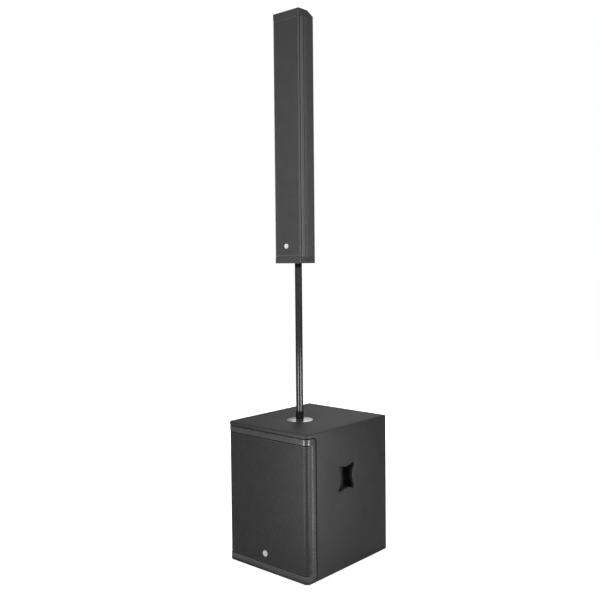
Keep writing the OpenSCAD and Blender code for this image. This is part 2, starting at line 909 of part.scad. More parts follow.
module mains_inlet() {
    slot_y = face_y - 21;
    plug_y = slot_y + 4;
    plug_z = inlet_z - 5;
    plug_w = 25;
    plug_h = 17;
    plug_cut = 4;
    blade_len = 13;
    color("#141415") difference() {
        union() {
            translate([inlet_x, face_y + 1, inlet_z]) cube([inlet_w, 2, inlet_h], center = true);
            block([inlet_x - inlet_w / 2 + 2, slot_y - 2, inlet_z - inlet_h / 2 + 2],
                  [inlet_x + inlet_w / 2 - 2, face_y, inlet_z + inlet_h / 2 - 2]);
        }
        // window of the rocker and the bearings of its pivot
        block([inlet_x - rocker_w / 2 - 0.3, face_y - 12, rocker_z - rocker_r - 0.4],
              [inlet_x + rocker_w / 2 + 0.3, face_y + 3, rocker_z + rocker_r + 0.4]);
        rocker_axis() cylinder(r = pivot_r + run_gap, h = rocker_w + 8, center = true);
        // recess for the power plug, its two lower corners cut off
        translate([inlet_x, plug_y, plug_z]) rotate([-90, 0, 0]) linear_extrude(20) {
            polygon([
                [-plug_w / 2, -plug_h / 2], [plug_w / 2, -plug_h / 2],
                [plug_w / 2, plug_h / 2 - plug_cut], [plug_w / 2 - plug_cut, plug_h / 2],
                [plug_cut - plug_w / 2, plug_h / 2], [-plug_w / 2, plug_h / 2 - plug_cut]
            ]);
        }
        // slot of the fuse drawer
        block([inlet_x - fuse_w / 2 - loose, slot_y, fuse_z - fuse_h / 2 - loose],
              [inlet_x + fuse_w / 2 + loose, face_y + 3, fuse_z + fuse_h / 2 + loose]);
    }
    // three blades standing in the plug recess
    color("#c8c8c8") for (p = [[-7, -3.5], [0, 2], [7, -3.5]]) {
        translate([inlet_x + p[0] - 1, plug_y, plug_z + p[1] - 2.5]) cube([2, blade_len, 5]);
    }
}

module fuse_drawer() {
    lip = 1;
    color("#2a2a2c") translate([inlet_x, face_y, fuse_z]) {
        block([-fuse_w / 2, -20, -fuse_h / 2], [fuse_w / 2, 2, fuse_h / 2]);
        block([-fuse_w / 2 - lip, 2, -fuse_h / 2 - lip / 2], [fuse_w / 2 + lip, 4, fuse_h / 2 + lip / 2]);
        block([-5, 4, -1], [5, 5.5, 1]);
    }
}

module rocker_axis() {
    translate([inlet_x, face_y - 1, rocker_z]) rotate([0, 90, 0]) children();
}

module power_rocker() {
    color("#7d1414") translate([inlet_x, face_y - 1, rocker_z]) rotate([-rocker_tilt, 0, 0]) {
        difference() {
            rotate([0, 90, 0]) cylinder(r = rocker_r, h = rocker_w, center = true);
            // shallow V of the finger face, and the flat back
            for (s = [-1, 1]) rotate([-s * rocker_tilt, 0, 0]) {
                block([-rocker_w, 4.4, s < 0 ? -rocker_w : 0], [rocker_w, rocker_w, s < 0 ? 0 : rocker_w]);
            }
            block([-rocker_w, -rocker_w, -rocker_w], [rocker_w, -5, rocker_w]);
        }
        rotate([0, 90, 0]) cylinder(r = pivot_r, h = rocker_w + 6, center = true);
    }
}

// control knob with a fluted skirt and a pointer rib, its shaft reaching back through the panel
module knob(x, z, r, h) {
    skirt_h = 3;
    grip_r = r - 1.8;
    shaft_len = 16;
    color("#242426") facing_back(x, face_y + 1, z) {
        difference() {
            union() {
                cylinder(r = r, h = skirt_h);
                cylinder(r = grip_r, h = h - 1);
                translate([0, 0, h - 1]) cylinder(r1 = grip_r, r2 = grip_r - 1, h = 1);
            }
            for (a = [15 : 30 : 345]) rotate(a) translate([r - 1, 0, skirt_h + 0.4]) {
                cylinder(r = 1.2, h = h - 5);
            }
        }
        translate([-0.6, -r + 2.6, h]) cube([1.2, r - 4, 0.6]);
        translate([0, 0, -shaft_len]) cylinder(r = shaft_r, h = shaft_len);
    }
}

module sub_level_knob() {
    knob(knob_x, knob_z, 11, 14);
}

module column_level_knob() {
    knob(jack_x[1], knob_z, 11, 14);
}

module crossover_knob() {
    knob(knob_x, small_z, 9, 13);
}

module phase_button() {
    stem_end = 12.5;
    color("#3a3a3d") button_place() {
        translate([0, 0, -3]) cylinder(r = button_r, h = 8);
        translate([0, 0, -stem_end]) cylinder(r = button_r / 2, h = stem_end - 2);
    }
}

module status_lights() {
    color("#3fae4a") light_places() {
        translate([0, 0, -2 * lamp_r]) cylinder(r = lamp_r, h = 2 * lamp_r + 1);
        translate([0, 0, 1]) intersection() {
            sphere(r = lamp_r);
            cylinder(r = lamp_r + over, h = lamp_r + over);
        }
    }
}

module amp_screws() {
    color("#8a8a8c") amp_screw_places() flat_screw(amp_screw_head_r, amp_screw_r, amp_screw_len);
}

module damping_wadding() {
    pad = 20;
    half_w = 200;
    y0 = baffle_y + baffle_t + 4;
    y1 = brace_y - 4;
    z0 = inner_z + 1;
    z1 = inner_z + inner_h - 1;
    side_in = inner_w / 2 - 2;
    cup_y = handle_y - handle_w / 2 - cup_room - cup_flange;
    color("#8d8f88") {
        block([-half_w, y0, z0], [half_w, y1, z0 + pad]);
        difference() {
            block([-half_w, y0, z1 - pad], [half_w, y1, z1]);
            at_pole(z1 - 2 * pad) cylinder(r = hub_r + 14, h = 3 * pad);
        }
        for (s = [-1, 1]) mirror_x(s) {
            block([side_in - pad, y0, z0 + 60], [side_in, cup_y - 4, z1 - 40]);
        }
    }
}

// ---- pole ----

module at_pole(z = 0) {
    translate([0, pole_y, z]) children();
}

module pole_washer() {
    color("#202020") at_pole() ring(stud_r, pole_r + 1, plate_top, pole_z);
}

module pole_stud() {
    color("#9a9a9c") at_pole() {
        translate([0, 0, plate_top - thread_len]) cylinder(r = stud_r - run_gap, h = thread_len + washer_t);
        translate([0, 0, pole_z]) cylinder(r = pole_r, h = tube_z - pole_z);
        translate([0, 0, tube_z]) cylinder(r = pole_r - tube_wall - run_gap, h = spigot_len);
    }
}

module pole_collar() {
    color("#141414") at_pole() difference() {
        ring(pole_r + run_gap, pole_r + 2, pole_z, pole_z + collar_h);
        for (a = [0 : 30 : 330]) rotate(a) {
            translate([pole_r + 2.6, 0, pole_z + collar_end]) {
                cylinder(r = 1.4, h = collar_h - 2 * collar_end);
            }
        }
    }
}

module pole_tube() {
    color("#1f1f20") at_pole() ring(pole_r - tube_wall, pole_r, tube_z, tube_top);
}

module pole_top_plug() {
    point_h = 2;
    color("#0f0f10") at_pole() {
        translate([0, 0, tube_top - spigot_len]) cylinder(r = pole_r - tube_wall - run_gap, h = spigot_len);
        translate([0, 0, tube_top]) cylinder(r = pole_r, h = plug_top - tube_top - point_h);
        translate([0, 0, plug_top - point_h]) cylinder(r1 = pole_r, r2 = pole_r - point_h, h = point_h);
    }
}

module swivel_washer() {
    color("#c9c9c9") at_pole(plug_top) cylinder(r = pole_r - 0.5, h = washer_t);
}

// ---- column speaker ----

module column_body() {
    front = col_y + rail_y1 + col_seam;
    z0 = col_z + cap_h;
    h = col_h - 2 * cap_h;
    color("#424244") difference() {
        union() {
            translate([0, 0, z0]) linear_extrude(h) difference() {
                intersection() {
                    col_plan();
                    translate([-col_w, front]) square([2 * col_w, col_d]);
                }
                col_plan(col_wall);
            }
            // inner lips: one behind the baffle, one behind the side rails
            for (s = [-1, 1]) mirror_x(s) {
                block([col_baffle_w / 2 - 8, col_y + col_baffle_y + col_baffle_t, z0],
                      [col_w / 2 - col_wall, col_y + col_baffle_y + col_baffle_t + col_wall, z0 + h]);
                block([col_baffle_w / 2, col_y + rail_y1, z0], [col_w / 2 - col_wall, front + 2, z0 + h]);
            }
        }
        translate([0, col_y + col_d, jack_plate_z]) {
            cube([jack_pan_w + 2 * loose, 6 * col_wall, jack_pan_h + 2 * loose], center = true);
        }
    }
}

// hollow end cap from z0 to z1, its end plate on the side of z = plate
module end_cap(z0, z1, plate) {
    end_t = 6;
    cap_wall = 3;
    difference() {
        translate([0, 0, z0]) linear_extrude(z1 - z0) col_plan();
        translate([0, 0, plate > z0 ? z0 - over : z0 + end_t]) {
            linear_extrude(z1 - z0 - end_t + over) col_plan(cap_wall);
        }
    }
}

module column_top_cap() {
    color("#4e4e50") end_cap(col_top - cap_h, col_top, col_top);
}

module column_bottom_cap() {
    bore_len = socket_len + washer_t;
    socket_wall = 7;
    color("#4e4e50") difference() {
        union() {
            end_cap(col_z, col_z + cap_h, col_z);
            at_pole(col_z) cylinder(r = pole_r + socket_wall, h = bore_len + socket_wall);
        }
        at_pole(col_z - over) cylinder(r = pole_r + run_gap, h = bore_len + over);
    }
}

module column_rails() {
    color("#67676a") for (s = [-1, 1]) mirror_x(s) {
        block([col_baffle_w / 2, col_y + rail_y0, col_z + cap_h],
              [col_w / 2 - rail_in, col_y + rail_y1, col_top - cap_h]);
    }
}

// sheet that follows the column's front and wraps round its corners
module col_front_band(g0, g1, d) {
    difference() {
        intersection() {
            col_plan(g0);
            translate([-col_w / 2, col_y]) square([col_w, d]);
        }
        col_plan(g1);
    }
}

module column_grille() {
    gap = 2;
    color("#3a3a3c") translate([0, 0, col_z + cap_h + gap]) linear_extrude(col_h - 2 * (cap_h + gap)) {
        col_front_band(col_grille_in, col_grille_in + col_grille_t, col_grille_wrap);
    }
}

module column_grille_foam() {
    y = col_y + col_grille_in + col_grille_t + 1;
    end_gap = 3;
    color("#1b1b1b") block([col_corner - col_w / 2, y, col_z + cap_h + end_gap],
                           [col_w / 2 - col_corner, y + 5, col_top - cap_h - end_gap]);
}

module column_badge() {
    color("#dcdcdc") round_badge(-8, col_y + col_grille_in, col_z + 83, 12);
}

module driver_places() {
    for (i = [0 : driver_count - 1]) {
        facing_back(0, col_y + col_baffle_y, driver_z0 + i * driver_pitch) children();
    }
}

module column_baffle() {
    z0 = col_z + cap_h;
    color("#2b2b2b") difference() {
        block([-col_baffle_w / 2, col_y + col_baffle_y, z0],
              [col_baffle_w / 2, col_y + col_baffle_y + col_baffle_t, col_top - cap_h]);
        driver_places() cylinder(r = driver_r - 5, h = 3 * col_baffle_t, center = true);
        translate([0, col_y + col_baffle_y, horn_z]) {
            cube([horn_w - 8, 3 * col_baffle_t, horn_h - 8], center = true);
        }
    }
}

module column_baskets() {
    rim_r = driver_r - 8;
    color("#3b3b3d") driver_places() {
        ring(rim_r, driver_r, -driver_flange_t, 0);
        difference() {
            rotate_extrude() polygon([
                [rim_r, -1], [rim_r + 2, -1], [rim_r + 2, 14], [33, driver_back - 3], [33, driver_back],
                [18, driver_back], [18, driver_back - 3], [30, driver_back - 4], [rim_r, 12]
            ]);
            // windows between the four legs
            for (a = [0, 90]) rotate(a) translate([0, 0, 23]) cube([2 * driver_r, 30, 16], center = true);
        }
    }
}

module column_magnets() {
    plate_r0 = 31;
    gap_r0 = driver_coil_r - 1;
    gap_r1 = driver_coil_r + 1.6;
    front_t = 4;
    ferrite_h = 12;
    ferrite_s = driver_back + front_t;
    back_s = ferrite_s + ferrite_h;
    color("#2a2a2c") driver_places() {
        ring(gap_r1, plate_r0, driver_back, ferrite_s);
        ring(gap_r1 + 4, plate_r0 + 2, ferrite_s, back_s);
        translate([0, 0, back_s]) cylinder(r = plate_r0, h = 5);
        translate([0, 0, driver_back]) cylinder(r = gap_r0, h = back_s - driver_back + over);
    }
}

module column_cones() {
    t = 1;
    coil_end = driver_back + 8;
    cap_ball = 20;
    color("#28282a") driver_places() {
        rotate_extrude() polygon([
            [driver_cone_r - t, 1], [driver_cone_r, 1], [driver_cone_r, 2], [driver_coil_r + t, 19],
            [driver_coil_r + t, coil_end], [driver_coil_r, coil_end], [driver_coil_r, 18]
        ]);
        rotate_extrude() intersection() {
            translate([0, 2]) square([driver_coil_r + 3.9, 14]);
            translate([0, cap_ball + 8]) difference() {
                circle(cap_ball + t);
                circle(cap_ball);
            }
        }
    }
}

module column_surrounds() {
    roll_r = (driver_r - 8 - driver_cone_r) / 2;
    color("#1e1e1f") driver_places() rotate_extrude() half_roll(driver_cone_r + roll_r, 1, roll_r, 0.8);
}

module column_horn() {
    mouth_in = 12;
    shell_in = 9;
    horn_len = throat_y - col_baffle_y;
    color("#1a1a1b") translate([0, col_y + col_baffle_y, horn_z]) difference() {
        union() {
            translate([0, -driver_flange_t / 2, 0]) cube([horn_w, driver_flange_t, horn_h], center = true);
            hull() {
                translate([0, 0.5, 0]) cube([horn_w - shell_in, 1, horn_h - shell_in], center = true);
                facing_back(0, horn_len - 4, 0) cylinder(r = throat_r + 4, h = 4, $fn = 32);
            }
        }
        hull() {
            translate([0, -driver_flange_t - 0.5, 0]) {
                cube([horn_w - mouth_in, 1, horn_h - mouth_in], center = true);
            }
            facing_back(0, horn_len, 0) cylinder(r = throat_r, h = 1, $fn = 32);
        }
    }
}

module compression_driver() {
    flange = 5;
    neck = 8;
    color("#222224") facing_back(0, col_y + throat_y, horn_z) difference() {
        union() {
            cylinder(r = 34, h = flange);
            translate([0, 0, flange]) cylinder(r = 28, h = neck);
            translate([0, 0, flange + neck]) cylinder(r = 38, h = 22);
        }
        translate([0, 0, -over]) cylinder(r = throat_r, h = flange + neck + over);
    }
}

module column_jack_places() {
    for (s = [-1, 1]) {
        facing_back(0, col_y + col_d - jack_pan_depth, jack_plate_z + s * jack_spread) children();
    }
}

module column_jack_plate() {
    face_t = 1.5;
    pan_wall = 2;
    color("#19191a") difference() {
        union() {
            translate([0, col_y + col_d + face_t / 2, jack_plate_z]) {
                cube([jack_plate_w, face_t, jack_plate_h], center = true);
            }
            translate([0, col_y + col_d - (jack_pan_depth + pan_wall) / 2, jack_plate_z]) {
                cube([jack_pan_w, jack_pan_depth + pan_wall, jack_pan_h], center = true);
            }
        }
        translate([0, col_y + col_d, jack_plate_z]) {
            cube([jack_pan_w - 2 * pan_wall, 2 * jack_pan_depth, jack_pan_h - 2 * pan_wall], center = true);
        }
        column_jack_places() cylinder(r = jack_hole_r, h = 3 * pan_wall, center = true);
        for (x = [-1, 1], z = [-1, 1]) {
            facing_back(x * (jack_plate_w - jack_flange) / 2, col_y + col_d - over,
                        jack_plate_z + z * (jack_plate_h - jack_flange) / 2) {
                cylinder(r = 1, h = 2 * over + face_t);
            }
        }
    }
}

module column_jacks() {
    color("#26272b") column_jack_places() speaker_socket();
}

cabinet_shell();
rear_panel();
baffle();
window_brace();
front_frame();
sub_grille();
sub_grille_foam();
sub_badge();
woofer_basket();
woofer_magnet();
woofer_surround();
woofer_cone();
woofer_dust_cap();
voice_coil();
woofer_spider();
woofer_bolts();
port_tubes();
handle_cups();
pole_socket();
socket_screws();
rubber_feet();
foot_screws();
amp_plate();
heatsink();
amp_board();
power_transformer();
xlr_sockets();
speaker_sockets();
mains_inlet();
fuse_drawer();
power_rocker();
sub_level_knob();
column_level_knob();
crossover_knob();
phase_button();
status_lights();
amp_screws();
damping_wadding();
pole_washer();
pole_stud();
pole_collar();
pole_tube();
pole_top_plug();
swivel_washer();
column_body();
column_top_cap();
column_bottom_cap();
column_rails();
column_grille();
column_grille_foam();
column_badge();
column_baffle();
column_baskets();
column_cones();
column_surrounds();
column_magnets();
column_horn();
compression_driver();
column_jack_plate();
column_jacks();
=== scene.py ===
"""Looks of a column PA system: subwoofer, distance pole and column speaker, round the CAD frame."""
import json
import math

import bmesh
import bpy
from mathutils import Matrix, Vector


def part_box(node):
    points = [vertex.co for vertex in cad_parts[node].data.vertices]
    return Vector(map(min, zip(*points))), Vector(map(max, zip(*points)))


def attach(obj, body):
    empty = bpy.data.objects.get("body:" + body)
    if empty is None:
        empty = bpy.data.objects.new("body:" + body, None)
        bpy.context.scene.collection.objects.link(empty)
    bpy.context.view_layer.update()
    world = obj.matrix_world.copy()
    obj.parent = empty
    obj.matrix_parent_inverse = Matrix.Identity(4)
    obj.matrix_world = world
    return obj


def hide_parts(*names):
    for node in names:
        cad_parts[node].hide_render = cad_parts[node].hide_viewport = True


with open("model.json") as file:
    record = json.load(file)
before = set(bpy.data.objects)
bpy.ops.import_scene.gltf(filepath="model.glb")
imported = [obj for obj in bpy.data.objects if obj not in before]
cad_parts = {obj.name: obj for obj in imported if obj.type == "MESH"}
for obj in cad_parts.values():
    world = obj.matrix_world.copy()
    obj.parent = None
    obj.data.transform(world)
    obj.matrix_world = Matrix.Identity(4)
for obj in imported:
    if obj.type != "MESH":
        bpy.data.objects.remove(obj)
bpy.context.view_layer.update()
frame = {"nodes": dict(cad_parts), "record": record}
NODES = frame["nodes"]
RECORD = frame["record"]
MM = 0.001
SLOT_OF = {part["node"]: part["material_slot"] for part in RECORD["subparts"]}
BODY_OF = {n: b for b, names in RECORD["behaviour"]["bodies"].items() for n in names}

CAB_LO, CAB_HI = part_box("cabinet_shell")
POLE_LO, POLE_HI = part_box("pole_tube")
POLE_AXIS = (POLE_LO + POLE_HI) / 2
POLE_LINE = (0, POLE_AXIS.y, 0)
FRONT_TURN = 24 * MM        # radius of the cabinet's front corners
COLUMN_TURN = 5 * MM        # radius of the column's front corners
TUBE_WALL = 2 * MM          # of the pole
PLUG_PLAY = 0.05 * MM       # between the pole's bore and what is plugged into it
PLATE_EDGE = 4 * MM         # height of the pole plate's rim, sunk in the cabinet's top
CLOTH = 0.6 * MM            # thickness of the cloth behind the grilles


# ---------------------------------------------------------------- materials

class Finish:
    """One node-based material, built up in layers. Sizes and heights are in metres."""

    def __init__(self, name, color, rough, metal=0.0, specular=0.5):
        self.mat = bpy.data.materials.new(name)
        self.mat.use_nodes = True
        self.nodes = self.mat.node_tree.nodes
        self.links = self.mat.node_tree.links
        self.bsdf = self.nodes["Principled BSDF"]
        self.bsdf.inputs["Base Color"].default_value = (*color, 1)
        self.bsdf.inputs["Roughness"].default_value = rough
        self.bsdf.inputs["Metallic"].default_value = metal
        self.bsdf.inputs["Specular IOR Level"].default_value = specular
        self.mat.diffuse_color = (*color, 1)
        self.here = self.nodes.new("ShaderNodeTexCoord").outputs["Object"]
        self.color = color

    def node(self, kind, **inputs):
        """A new node with its inputs set to values or linked to sockets."""
        made = self.nodes.new(kind)
        for key, value in inputs.items():
            slot = made.inputs[key.replace("_", " ")]
            if isinstance(value, bpy.types.NodeSocket):
                self.links.new(value, slot)
            else:
                slot.default_value = value
        return made

    def stretched(self, scale):
        """The object's coordinates, multiplied by scale along X, Y and Z."""
        made = self.nodes.new("ShaderNodeVectorMath")
        made.operation = "MULTIPLY"
        self.links.new(self.here, made.inputs[0])
        made.inputs[1].default_value = scale
        return made.outputs[0]

    def grain(self, size, detail=2.0, vector=None, distortion=0.0):
        """Soft noise whose features are about size across."""
        made = self.node("ShaderNodeTexNoise", Scale=1 / size, Detail=detail, Roughness=0.55,
                         Distortion=distortion)
        self.links.new(vector or self.here, made.inputs["Vector"])
        return made.outputs["Fac"]

    def cells(self, size, smooth=0.4, vector=None):
        """Distance to scattered points about size apart: droplets, pores or fibres."""
        made = self.nodes.new("ShaderNodeTexVoronoi")
        made.feature = "SMOOTH_F1"
        made.inputs["Scale"].default_value = 1 / size
        made.inputs["Smoothness"].default_value = smooth
        self.links.new(vector or self.here, made.inputs["Vector"])
        return made.outputs["Distance"]

    def waves(self, spacing, axis, distortion=0.0):
        """Ridges spacing apart, counted along axis."""
        made = self.nodes.new("ShaderNodeTexWave")
        made.bands_direction = axis
        made.inputs["Scale"].default_value = math.pi / (10 * spacing)
        made.inputs["Distortion"].default_value = distortion
        self.links.new(self.here, made.inputs["Vector"])
        return made.outputs["Fac"]

    def span(self, fac, low, high):
        """Spreads the middle half of fac's range over low..high."""
        made = self.node("ShaderNodeMapRange", Value=fac)
        made.inputs["From Min"].default_value = 0.25
        made.inputs["From Max"].default_value = 0.75
        made.inputs["To Min"].default_value = low
        made.inputs["To Max"].default_value = high
        return made.outputs["Result"]

    def tint(self, fac, dark, light):
        """Base colour that runs from dark to light, both as multiples of the base colour."""
        made = self.nodes.new("ShaderNodeMix")
        made.data_type = "RGBA"
        made.inputs["A"].default_value = (*[c * dark for c in self.color], 1)
        made.inputs["B"].default_value = (*[min(c * light, 1) for c in self.color], 1)
        self.links.new(self.span(fac, 0, 1), made.inputs["Factor"])
        self.links.new(made.outputs["Result"], self.bsdf.inputs["Base Color"])
        return self

    def rough(self, fac, low, high):
        """Roughness that runs from low to high."""
        self.links.new(self.span(fac, low, high), self.bsdf.inputs["Roughness"])
        return self

    def bump(self, fac, height, strength):
        """Raises the surface by fac times height, on top of any earlier bump."""
        made = self.node("ShaderNodeBump", Height=fac, Distance=height, Strength=strength)
        earlier = self.bsdf.inputs["Normal"].links
        if earlier:
            self.links.new(earlier[0].from_socket, made.inputs["Normal"])
        self.links.new(made.outputs["Normal"], self.bsdf.inputs["Normal"])
        return self

    def coat(self, weight, rough):
        """Clear lacquer on top."""
        self.bsdf.inputs["Coat Weight"].default_value = weight
        self.bsdf.inputs["Coat Roughness"].default_value = rough
        return self

    def fuzz(self, weight):
        """Sheen of fine upright fibres."""
        self.bsdf.inputs["Sheen Weight"].default_value = weight
        self.bsdf.inputs["Sheen Roughness"].default_value = 0.5
        return self

    def radius_from(self, centre):
        """Distance from an upright line through centre: rings on turned pieces."""
        moved = self.nodes.new("ShaderNodeVectorMath")
        moved.operation = "SUBTRACT"
        self.links.new(self.here, moved.inputs[0])
        moved.inputs[1].default_value = centre
        flat = self.nodes.new("ShaderNodeVectorMath")
        flat.operation = "MULTIPLY"
        flat.inputs[1].default_value = (1, 1, 0)
        self.links.new(moved.outputs[0], flat.inputs[0])
        length = self.nodes.new("ShaderNodeVectorMath")
        length.operation = "LENGTH"
        self.links.new(flat.outputs[0], length.inputs[0])
        return length.outputs["Value"]


def sprayed_paint(name, color):
    """Tough black cabinet paint, sprayed in droplets that dry as a pebbled skin."""
    f = Finish(name, color, 0.6, specular=0.22)
    drops = f.cells(2.4 * MM, 0.6)
    fine = f.grain(1.1 * MM, 3)
    f.tint(f.grain(60 * MM, 3), 0.9, 1.12)
    f.rough(fine, 0.52, 0.68)
    f.bump(drops, -0.35 * MM, 0.7)
    f.bump(fine, 0.12 * MM, 0.6)
    return f.mat


def moulded(name, color, rough=0.4, texture=0.05 * MM, grain=0.6 * MM, specular=0.5):
    """Moulded plastic with a fine spark-eroded texture."""
    f = Finish(name, color, rough, specular=specular)
    fine = f.grain(grain, 3)
    f.tint(f.grain(25 * MM, 2), 0.92, 1.08)
    f.rough(f.grain(4 * MM, 3), rough - 0.05, rough + 0.07)
    f.bump(fine, texture, 0.6)
    return f.mat


def powder_coat(name, color, rough=0.4, grain=0.8 * MM, height=0.04 * MM, specular=0.5):
    """Powder coat: slight orange peel over metal."""
    f = Finish(name, color, rough, specular=specular)
    peel = f.grain(grain, 2)
    f.tint(f.grain(40 * MM, 2), 0.93, 1.08)
    f.rough(f.grain(6 * MM, 3), rough - 0.04, rough + 0.06)
    f.bump(peel, height, 0.5)
    return f.mat


def plywood(name, color):
    """Bare birch ply: long faint figure and open grain."""
    f = Finish(name, color, 0.6)
    along = f.stretched((1, 1, 0.06))
    figure = f.grain(7 * MM, 4, along, 0.6)
    f.tint(figure, 0.72, 1.15)
    f.rough(figure, 0.5, 0.72)
    f.bump(f.grain(1.2 * MM, 3, along), 0.12 * MM, 0.6)
    return f.mat


def painted_board(name, color):
    """Board with one coat of flat black paint, its grain telegraphing through."""
    f = Finish(name, color, 0.75)
    along = f.stretched((0.08, 1, 1))
    figure = f.grain(2.5 * MM, 4, along)
    f.tint(f.grain(30 * MM, 3), 0.8, 1.2)
    f.rough(figure, 0.66, 0.85)
    f.bump(figure, 0.1 * MM, 0.6)
    return f.mat


def open_foam(name, color):
    """Open-cell acoustic foam."""
    f = Finish(name, color, 0.95, specular=0.15)
    pores = f.cells(1.3 * MM, 0.15)
    f.tint(pores, 0.4, 1.6)
    f.bump(pores, 0.7 * MM, 0.9)
    f.bump(f.grain(0.5 * MM, 3), 0.2 * MM, 0.6)
    return f.mat


def fibre(name, color):
    """Matted fibres."""
    f = Finish(name, color, 0.95, specular=0.1)
    strands = f.cells(1.5 * MM, 0.1, f.stretched((1, 0.3, 1)))
    f.tint(strands, 0.75, 1.15)
    f.bump(strands, 0.6 * MM, 0.8)
    f.bump(f.grain(9 * MM, 4), 1.5 * MM, 0.6)
    return f.fuzz(0.5).mat


def woven(name, color):
    """Plain weave stiffened with resin."""
    f = Finish(name, color, 0.7)
    thread = 0.9 * MM
    warp = f.waves(thread, "X", 0.4)
    weft = f.waves(thread, "Z", 0.4)
    both = f.node("ShaderNodeMath", Value=warp)
    both.operation = "MULTIPLY"
    f.links.new(weft, both.inputs[1])
    f.tint(both.outputs[0], 0.7, 1.15)
    f.rough(f.grain(5 * MM), 0.55, 0.8)
    f.bump(both.outputs[0], 0.2 * MM, 0.8)
    return f.mat


def turned_steel(name, color):
    """Plated steel, faced on a lathe: fine rings round the pole's axis."""
    f = Finish(name, color, 0.34, metal=1.0)
    rings = f.node("ShaderNodeTexNoise", Scale=1600.0, Detail=3.0, Roughness=0.6)
    rings.noise_dimensions = "1D"
    f.links.new(f.radius_from(POLE_AXIS), rings.inputs["W"])
    f.tint(f.grain(18 * MM, 3), 0.9, 1.06)
    f.rough(rings.outputs["Fac"], 0.28, 0.44)
    f.bump(rings.outputs["Fac"], 0.015 * MM, 0.6)
    return f.mat


def zinc(name, color):
    """Zinc-plated fastener."""
    f = Finish(name, color, 0.32, metal=1.0)
    f.tint(f.grain(1.5 * MM, 3), 0.8, 1.1)
    f.rough(f.grain(0.8 * MM, 2), 0.24, 0.45)
    f.bump(f.grain(0.4 * MM, 2), 0.01 * MM, 0.5)
    return f.mat


def anodised(name, color):
    """Black anodised extrusion with drawing lines along its length."""
    f = Finish(name, color, 0.42, metal=0.6)
    lines = f.grain(0.7 * MM, 3, f.stretched((1, 1, 0.01)))
    f.tint(lines, 0.85, 1.15)
    f.rough(lines, 0.36, 0.5)
    f.bump(lines, 0.02 * MM, 0.6)
    return f.mat


def cast_metal(name, color):
    """Painted casting with a sandy skin."""
    f = Finish(name, color, 0.5, metal=0.3)
    sand = f.grain(1.3 * MM, 4)
    f.tint(f.grain(20 * MM, 3), 0.85, 1.15)
    f.rough(sand, 0.42, 0.6)
    f.bump(sand, 0.12 * MM, 0.6)
    return f.mat


def rubber(name, color):
    """Dull black rubber or rubbered cloth."""
    f = Finish(name, color, 0.7, specular=0.35)
    f.tint(f.grain(8 * MM, 3), 0.8, 1.25)
    f.rough(f.grain(1.5 * MM, 3), 0.6, 0.82)
    f.bump(f.grain(0.7 * MM, 3), 0.05 * MM, 0.6)
    return f.mat


def pressed_paper(name, color):
    """Cone pulp: short random fibres under a damping coat."""
    f = Finish(name, color, 0.65)
    pulp = f.grain(1.8 * MM, 5, distortion=1.2)
    f.tint(pulp, 0.75, 1.3)
    f.rough(pulp, 0.55, 0.75)
    f.bump(pulp, 0.15 * MM, 0.7)
    return f.mat


def wound_copper(name, color):
    """Enamelled wire wound side by side."""
    f = Finish(name, color, 0.3, metal=1.0)
    turns = f.waves(0.6 * MM, "Y")
    f.tint(turns, 0.6, 1.1)
    f.rough(turns, 0.25, 0.4)
    f.bump(turns, 0.15 * MM, 0.8)
    return f.coat(0.5, 0.2).mat


def circuit_board(name, color):
    """Solder mask over copper tracks."""
    f = Finish(name, color, 0.35)
    tracks = f.node("ShaderNodeTexBrick", Scale=60.0)
    f.links.new(f.here, tracks.inputs["Vector"])
    f.tint(tracks.outputs["Fac"], 0.8, 1.4)
    f.rough(f.grain(3 * MM), 0.3, 0.45)
    f.bump(tracks.outputs["Fac"], 0.05 * MM, 0.5)
    return f.mat


def enamel(name, color):
    """Smooth hard enamel with the faintest ripple."""
    f = Finish(name, color, 0.28)
    f.tint(f.grain(6 * MM, 2), 0.96, 1.03)
    f.rough(f.grain(2 * MM, 2), 0.24, 0.34)
    f.bump(f.grain(3 * MM, 1), 0.02 * MM, 0.4)
    return f.coat(0.3, 0.1).mat


def lamp(name, color):
    """Diffused lens of a lit indicator."""
    f = Finish(name, color, 0.3)
    glow = f.grain(1.2 * MM, 2)
    f.tint(glow, 0.85, 1.1)
    f.bump(glow, 0.02 * MM, 0.5)
    f.bsdf.inputs["Emission Color"].default_value = (*color, 1)
    f.bsdf.inputs["Emission Strength"].default_value = 1.5
    return f.mat


